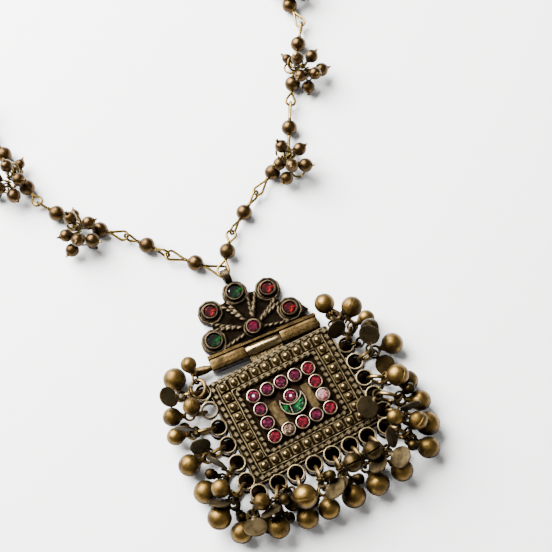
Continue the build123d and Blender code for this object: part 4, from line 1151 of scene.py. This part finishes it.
def hasRoom(rooms, taken, carrier):  # true where nothing else, the floor or the plate is touched
    s = roomSize
    for points, reach in rooms:
        low = points[:, 2] - reach
        margin, above = (s["ballMargin"], math.inf) if reach > s["ball"] else (reach, s["overPlate"])
        x, y = np.abs(points[:, 0]), points[:, 1]
        overPlate = (x < s["side"] + margin) & (y < s["head"] + margin) & (y > s["foot"] - margin)
        if low.min() < s["floor"] or (overPlate & (low < above)).any():
            return False
        for name, others in taken.items():
            if name == carrier and reach < s["wire"]:
                continue
            for spots, width in others:
                if np.abs(points[0] - spots[0]).max() > s["far"]:
                    continue
                gap = np.linalg.norm(points[:, None] - spots[None], axis=2).min() - reach - width
                if gap < s["gap"]:
                    return False
    return True


def crowd(places, taken, sideOf):  # the smaller parts behind, in a darker brass that is painted shade, wherever one still hangs free
    f, shapes = fringeSize, {}
    carriers = [row[0] for row in fringe if row[2] == "ring"] + [row for row in loops if row != f["openLoop"]]
    for name in carriers:
        count = {"bell": 0, "ring": 0, "disc": 0}
        for kind, around, lean, size, turn in f["crowd"]:
            if count[kind] >= f["crowdMost"][kind]:
                continue
            isRing = kind == "ring"
            radius, wire = (size, f["crowdWire"]) if isRing else (f["eye"], f["eyeWire"])
            circle = hung(places[name], around, lean, radius, wire)
            place = circle[0]
            rooms = [(circlePath(place, size, 20), wire)] if isRing else takenBy(kind, place, size, turn)
            if kind == "disc":
                flatness, highest = abs(discFrame(place, size, turn)[2][2]), rooms[1][0][:, 2].max()
                if flatness < f["crowdFlat"] or highest > f["crowdLow"]:
                    continue
            if hasRoom(rooms, taken, name):
                count[kind] += 1
                key = f"{name}_{kind}_{around}_{lean}_{size}"
                taken[key], places[key], sideOf[key] = rooms, circle, sideOf[name]
                shape = shapes.setdefault(sideOf[name], newShape())
                if isRing and len(carriers) < f["crowdCarriers"]:  # more hangs from this link in turn
                    carriers.append(key)
                if isRing:
                    wireRing(shape, place, size, wire, 60)
                elif kind == "disc":
                    disc(shape, place, size, turn, around + lean)
                else:  # the first bell on a carrier is a slit one, those far round it have grains
                    bell(shape, place, size, count[kind] == 1, around > 40, around + lean)
    for side, shape in shapes.items():
        makePiece(f"crowd{side.title()}", shape, shadedFinish, "plate")


def fringePieces():
    f = fringeSize
    places = {name: (flatPlace(x, y, f["loopHigh"]), f["loop"], f["loopWire"])
              for name, (x, y) in loops.items()}
    heights, guard = f["stripGuard"]
    taken = {name: [(circlePath(flatPlace(x, y, z), f["loop"] + f["stripOut"], 24), guard) for z in heights]
             for name, (x, y) in loops.items()}
    sides = {"L": "left", "B": "foot", "R": "right"}
    sideOf = {name: sides[name[0]] for name in loops}
    shapes = {}
    for i, (name, carrier, kind, around, side, size, turn) in enumerate(fringe):
        sideOf[name] = sideOf[carrier]
        if kind == "ring":
            circle = hung(places[carrier], around, side, size, f["ringWire"], turn)
            places[name] = lifted(circle) if carrier in loops else circle
            taken[name] = takenBy(kind, places[name][0], size)
            shape = shapes.setdefault(("rings", sideOf[name]), newShape())
            wireRing(shape, places[name][0], size, f["ringThick"], 60)
            continue
        place = hung(places[carrier], around, side, f["eye"], f["eyeWire"])[0]
        taken[name] = takenBy(kind, place, size, turn)
        if kind == "disc":
            disc(shapes.setdefault(("discs", sideOf[name]), newShape()), place, size, turn, i)
        else:
            shape = shapes.setdefault(("bells", sideOf[name]), newShape())
            bell(shape, place, size, kind == "slit bell", name in granulated, i)
    finishes = {"rings": ringFinish, "bells": bellFinish, "discs": discFinish}
    for (kind, side), shape in shapes.items():
        name = f"{kind}{side.title()}"
        makePiece(name, shape, finishes[kind], "plate", [f"{kind}_{side}"])
    before = len(taken)
    crowd(places, taken, sideOf)
    print("small parts behind:", len(taken) - before)


makePiece("edgeLoops", stripLoops(), ribbonFinish, "plate")
makePiece("shadowDiscsUnderLoops", shadowDiscsUnderLoops(), pitchAndShadowFinish, "plate")
fringePieces()
print("fringe made")


# chain: the beads' places come from the frame, the wires run joint to joint through them
chainSize = {"bead": 2.15, "wire": 0.35, "cadWire": 0.33, "eye": 1.25, "endEye": 1.5, "gap": 0.2,
             "twistOut": 0.5, "sway": 14.0, "endStep": 0.43,
             "coil": (0.75, 0.33, 0.2), "coilTurns": 2}  # coil beside a bead: length, radius, wire


def loosePlaces(node):  # the middle of each loose solid of a node, in millimetres
    mesh = node.data
    points = np.array([v.co for v in mesh.vertices]) / mm
    keys, first = np.unique(np.round(points, 3), axis=0, return_inverse=True)
    first = first.ravel()
    parent = np.arange(len(keys))

    def root(i):
        while parent[i] != i:
            parent[i] = parent[parent[i]]
            i = parent[i]
        return i

    for polygon in mesh.polygons:
        corners = [root(first[i]) for i in polygon.vertices]
        for c in corners[1:]:
            parent[root(c)] = root(corners[0])
    roots = np.array([root(i) for i in range(len(keys))])
    return [(keys[roots == r].min(0) + keys[roots == r].max(0)) / 2 for r in np.unique(roots)]


def chainLinks():  # joint, bead, joint and so on, starting in the bail
    crest = crestSize
    a = math.radians(bailAngle + hingeSize["askew"])
    wall = at(hingePlace, crestPoint(bailAngle, crest["bailReach"])) + crest["bail"] * np.array(
        (math.cos(a), math.sin(a), 0))
    joint = np.array((wall[0], wall[1], crest["bailHigh"] + chainSize["endStep"]))
    left = loosePlaces(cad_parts["chain_beads"])
    joints = [joint]
    heading = np.array((1.0, 1.0, 0.0))  # the first link leaves to the upper right

    def distance(i):
        return np.linalg.norm(left[i] - joint)

    def straightness(i):  # of the two nearest beads, the one that lies ahead comes next
        return unit(left[i] - joint) @ unit(heading) - 0.1 * distance(i)

    while left:
        near = sorted(range(len(left)), key=distance)[:2]
        middle = left.pop(max(near, key=straightness))
        heading = middle - joint
        joint = 2 * middle - joint
        joints.append(joint)
    return joints


def linkPlace(joints, count):
    start, finish = joints[count], joints[count + 1]
    run = unit(finish - start)
    up = unit(np.array((0, 0, 1)) - run * run[2])
    sway = 0 if count in (0, len(joints) - 2) else chainSize["sway"] * math.sin(5 * count)
    roll = math.radians(90 * (count % 2) + sway)
    normal = up * math.cos(roll) + np.cross(run, up) * math.sin(roll)
    return ((start + finish) / 2, (run, np.cross(normal, run), normal))


def eyeOf(joints, count, end):
    c = chainSize
    half = np.linalg.norm(joints[count + 1] - joints[count]) / 2
    if (count == 0 and end < 0) or (count == len(joints) - 2 and end > 0):
        return half, c["endEye"]
    return half - (c["eye"] - c["cadWire"] - c["gap"] / 2), c["eye"]


def chainPieces(joints):
    c = chainSize
    wires, beads = newShape(), newShape()
    for count in range(len(joints) - 1):
        place = linkPlace(joints, count)
        origin, axes = place
        for end in (-1, 1):
            reach, radius = eyeOf(joints, count, end)
            apex = c["bead"] + c["twistOut"]
            tilt = math.asin(radius / (reach - apex))
            arc = np.linspace(math.pi / 2 + tilt, -math.pi / 2 - tilt, 26)
            eye = [(reach + radius * math.cos(t), radius * math.sin(t), 0) for t in arc]
            legs = [(apex - 0.1, 0.06, 0.05)]
            legs += [(apex + (eye[0][0] - apex) * t, eye[0][1] * t, 0.05 * (1 - t)) for t in (0.25, 0.6)]
            back = [(x, -y, -z) for x, y, z in reversed(legs)]
            path = np.array(legs + eye + back) * (end, 1, 1)
            tube(wires, at(place, path), c["wire"], 8)
            length, out, wire = c["coil"]
            t = np.linspace(0, 1, 30)[:, None]
            turn = t * (2 * c["coilTurns"]) * math.pi
            coil = np.c_[c["bead"] - 0.05 + length * t, out * np.cos(turn), out * np.sin(turn)] * (end, 1, 1)
            tube(wires, at(place, coil), wire, 6)
        tube(wires, at(place, [(-apex, 0, 0), (0, 0, 0), (apex, 0, 0)]), c["wire"] * 0.9, 8)
        ball(beads, place, c["bead"], 28, 18, squash=0.985, rough=0.02)
        for end in (-1, 1):  # a thin collar round each end of the hole
            mouth = (origin + axes[0] * end * (c["bead"] - 0.1), (axes[1], axes[2], axes[0]))
            tube(beads, circlePath(mouth, 0.55, 20), 0.14, 6, closed=True)
    makePiece("chainWires", wires, wireFinish, "crest_and_chain", ["chain_wires"])
    makePiece("chainBeads", beads, beadFinish, "crest_and_chain", ["chain_beads"])


chainJoints = chainLinks()
chainPieces(chainJoints)
print("chain made:", len(chainJoints) - 1, "links, ends at", [round(float(v), 1) for v in chainJoints[-1]])


# bunches of small drops on the chain
bunchSize = {
    "ring": 2.3, "wire": 0.24, "eye": 0.95, "eyeWire": 0.24, "stem": 0.5, "stub": 0.75,
    # the smaller parts: wire of a loop, how many of each, and then what is tried, in this order
    "loopWire": 0.31, "most": {"bead": 6, "loop": 6},
    "more": [("loop", turn, side, size) for size in (1.9, 1.5) for turn in range(0, 360, 25)
             for side in (40, -40, 70, -70)]
    + [("bead", turn, side, size) for size in (1.35, 1.0) for side in (0, 50, -50, 25, -25)
       for turn in range(0, 360, 20)],
}
# angle round the bunch's ring, lean to the side, radius of the bead
drops = [(4, 54, 1.8), (26, -54, 1.9), (48, 10, 1.75), (69, 72, 1.7), (93, -66, 1.8), (114, 15, 1.75)]
# node, link, its end, turn round the eye
bunches = [("bunch_right_low", 2, 1, -122), ("bunch_right_mid", 4, 1, -122), ("bunch_right_top", 6, 1, -118),
           ("bunch_left_low", -3, -1, 122), ("bunch_left_mid", -5, -1, 122), ("bunch_left_top", -7, -1, 122)]


def dropRoom(place, radius):  # the ball of a drop: its middle and its radius
    return (at(place, [(bunchSize["eye"] + bunchSize["stem"] + radius, 0, 0)]), radius)


def drop(wires, beads, place, radius, seed):
    b = bunchSize
    middle = b["eye"] + b["stem"] + radius
    half = b["eye"]
    arc = np.linspace(-2.2, 2.2, 20) + math.pi
    path = [(middle - radius + 0.1, -0.12, 0)]
    path += [(half * math.cos(t), half * math.sin(t), 0) for t in arc[::-1]]
    path.append((middle - radius + 0.1, 0.12, 0))
    tube(wires, at(place, path), b["eyeWire"], 8)
    axes = np.asarray(place[1], float)
    ball(beads, (at(place, (middle, 0, 0)), axes), radius, 22, 14, rough=0.03)
    neck = [(middle - radius - 0.3, 0.3), (middle - radius - 0.1, 0.52), (middle - radius + 0.15, 0.75)]
    lathe(beads, place, neck, 14)
    tip = middle + radius
    lathe(beads, place, [(tip - 0.3, 0.75), (tip + 0.05, 0.55), (tip + 0.2, 0.38)], 14)
    if seed % 3 == 1:
        ball(beads, (at(place, (tip + 0.45, 0, 0)), axes), 0.48, 12, 8)
    else:
        lathe(wires, place, [(tip, 0.3), (tip + b["stub"], 0.3)], 10)


def moreDrops(wires, beads, ring, taken):  # smaller beads and loops, wherever one still hangs free
    b, count = bunchSize, {"bead": 0, "loop": 0}
    for kind, turn, side, size in b["more"]:
        if count[kind] >= b["most"][kind]:
            continue
        radius, wire = (size, b["loopWire"]) if kind == "loop" else (b["eye"], b["eyeWire"])
        place = hung(ring, turn, side, radius, wire)[0]
        rooms = [(circlePath(place, radius, 20), wire)]
        if kind == "bead":
            rooms.append(dropRoom(place, size))
        if hasRoom(rooms, taken, "ring"):
            count[kind] += 1
            taken[f"{kind}_{turn}_{side}"] = rooms
            if kind == "bead":
                drop(wires, beads, place, size, turn)
            else:
                wireRing(wires, place, radius, wire, 60)


def bunchPieces(joints):
    b = bunchSize
    for name, link, end, around in bunches:
        count = link if link > 0 else len(joints) - 1 + link
        origin, axes = linkPlace(joints, count)
        reach, radius = eyeOf(joints, count, end)
        run, normal = axes[0] * end, axes[2]
        carrier = ((origin + run * reach, (run, np.cross(normal, run), normal)), radius, chainSize["cadWire"])
        ring = lifted(hung(carrier, around, 0, b["ring"], b["wire"]))
        wires, beads = newShape(), newShape()
        wireRing(wires, ring[0], b["ring"], b["wire"], 250)
        taken = {"ring": [(circlePath(ring[0], b["ring"], 30), b["wire"])]}
        for i in range(-2, 2):  # the beads of the chain nearby
            taken[f"link_{i}"] = [(np.array([linkPlace(joints, count + i)[0]]), 2.2)]
        for i, (turn, side, size) in enumerate(drops):
            place = hung(ring, turn, side, b["eye"], b["eyeWire"])[0]
            drop(wires, beads, place, size, i + count)
            taken[f"drop_{i}"] = [(circlePath(place, b["eye"], 16), b["eyeWire"]), dropRoom(place, size)]
        moreDrops(wires, beads, ring, taken)
        label = name.title().replace("_", "")
        makePiece(f"wires{label}", wires, wireFinish, "crest_and_chain", [name])
        makePiece(f"beads{label}", beads, beadFinish, "crest_and_chain")


bunchPieces(chainJoints)
print("bunches made")


# floor, lights and camera
lightSetup = {"world": 0.23, "target": (0.01, 0.02, 0.0),
              # name, power, place, size, in metres
              "lamps": [("keyLight", 37.0, (-0.17, 0.44, 0.40), 0.55),
                        ("fillLight", 0.3, (0.30, -0.30, 0.35), 0.4)]}
viewSetup = {"tilt": 22.0, "yaw": -23.24, "roll": -4.79, "away": 337.41, "target": (12.695, 32.866, 0.0),
             "lens": 84.78}


def makeFloor():
    bpy.ops.mesh.primitive_plane_add(size=4, location=(0, 0, -0.00004))
    floor = bpy.context.object
    floor.name = "floor"
    material = newFinish("paleFloor", {"Base Color": (0.93, 0.925, 0.91, 1), "Roughness": 0.9})[0]
    floor.data.materials.append(material)


def makeLight(name, power, place, size):
    data = bpy.data.lights.new(name, "AREA")
    data.energy, data.size = power, size
    lamp = bpy.data.objects.new(name, data)
    lamp.location = place
    towards = Vector(lightSetup["target"]) - Vector(place)
    lamp.rotation_euler = towards.to_track_quat("-Z", "Y").to_euler()
    bpy.context.scene.collection.objects.link(lamp)


def makeCamera():
    v = viewSetup
    turn = (Matrix.Rotation(math.radians(v["yaw"]), 4, "Z") @ Matrix.Rotation(math.radians(v["tilt"]), 4, "X")
            @ Matrix.Rotation(math.radians(v["roll"]), 4, "Z"))
    back = turn @ Vector((0, 0, 1))
    data = bpy.data.cameras.new("camera")
    data.lens, data.sensor_width = v["lens"], 36
    camera = bpy.data.objects.new("camera", data)
    camera.matrix_world = Matrix.Translation((Vector(v["target"]) + back.to_3d() * v["away"]) * mm) @ turn
    bpy.context.scene.collection.objects.link(camera)
    bpy.context.scene.camera = camera


def makeWorld():
    world = bpy.data.worlds.new("softRoom")
    bpy.context.scene.world = world
    world.use_nodes = True
    background = world.node_tree.nodes["Background"]
    background.inputs["Color"].default_value = (1.0, 0.99, 0.97, 1)
    background.inputs["Strength"].default_value = lightSetup["world"]


makeFloor()
for row in lightSetup["lamps"]:
    makeLight(*row)
makeCamera()
makeWorld()
print("floor, lights and camera made")
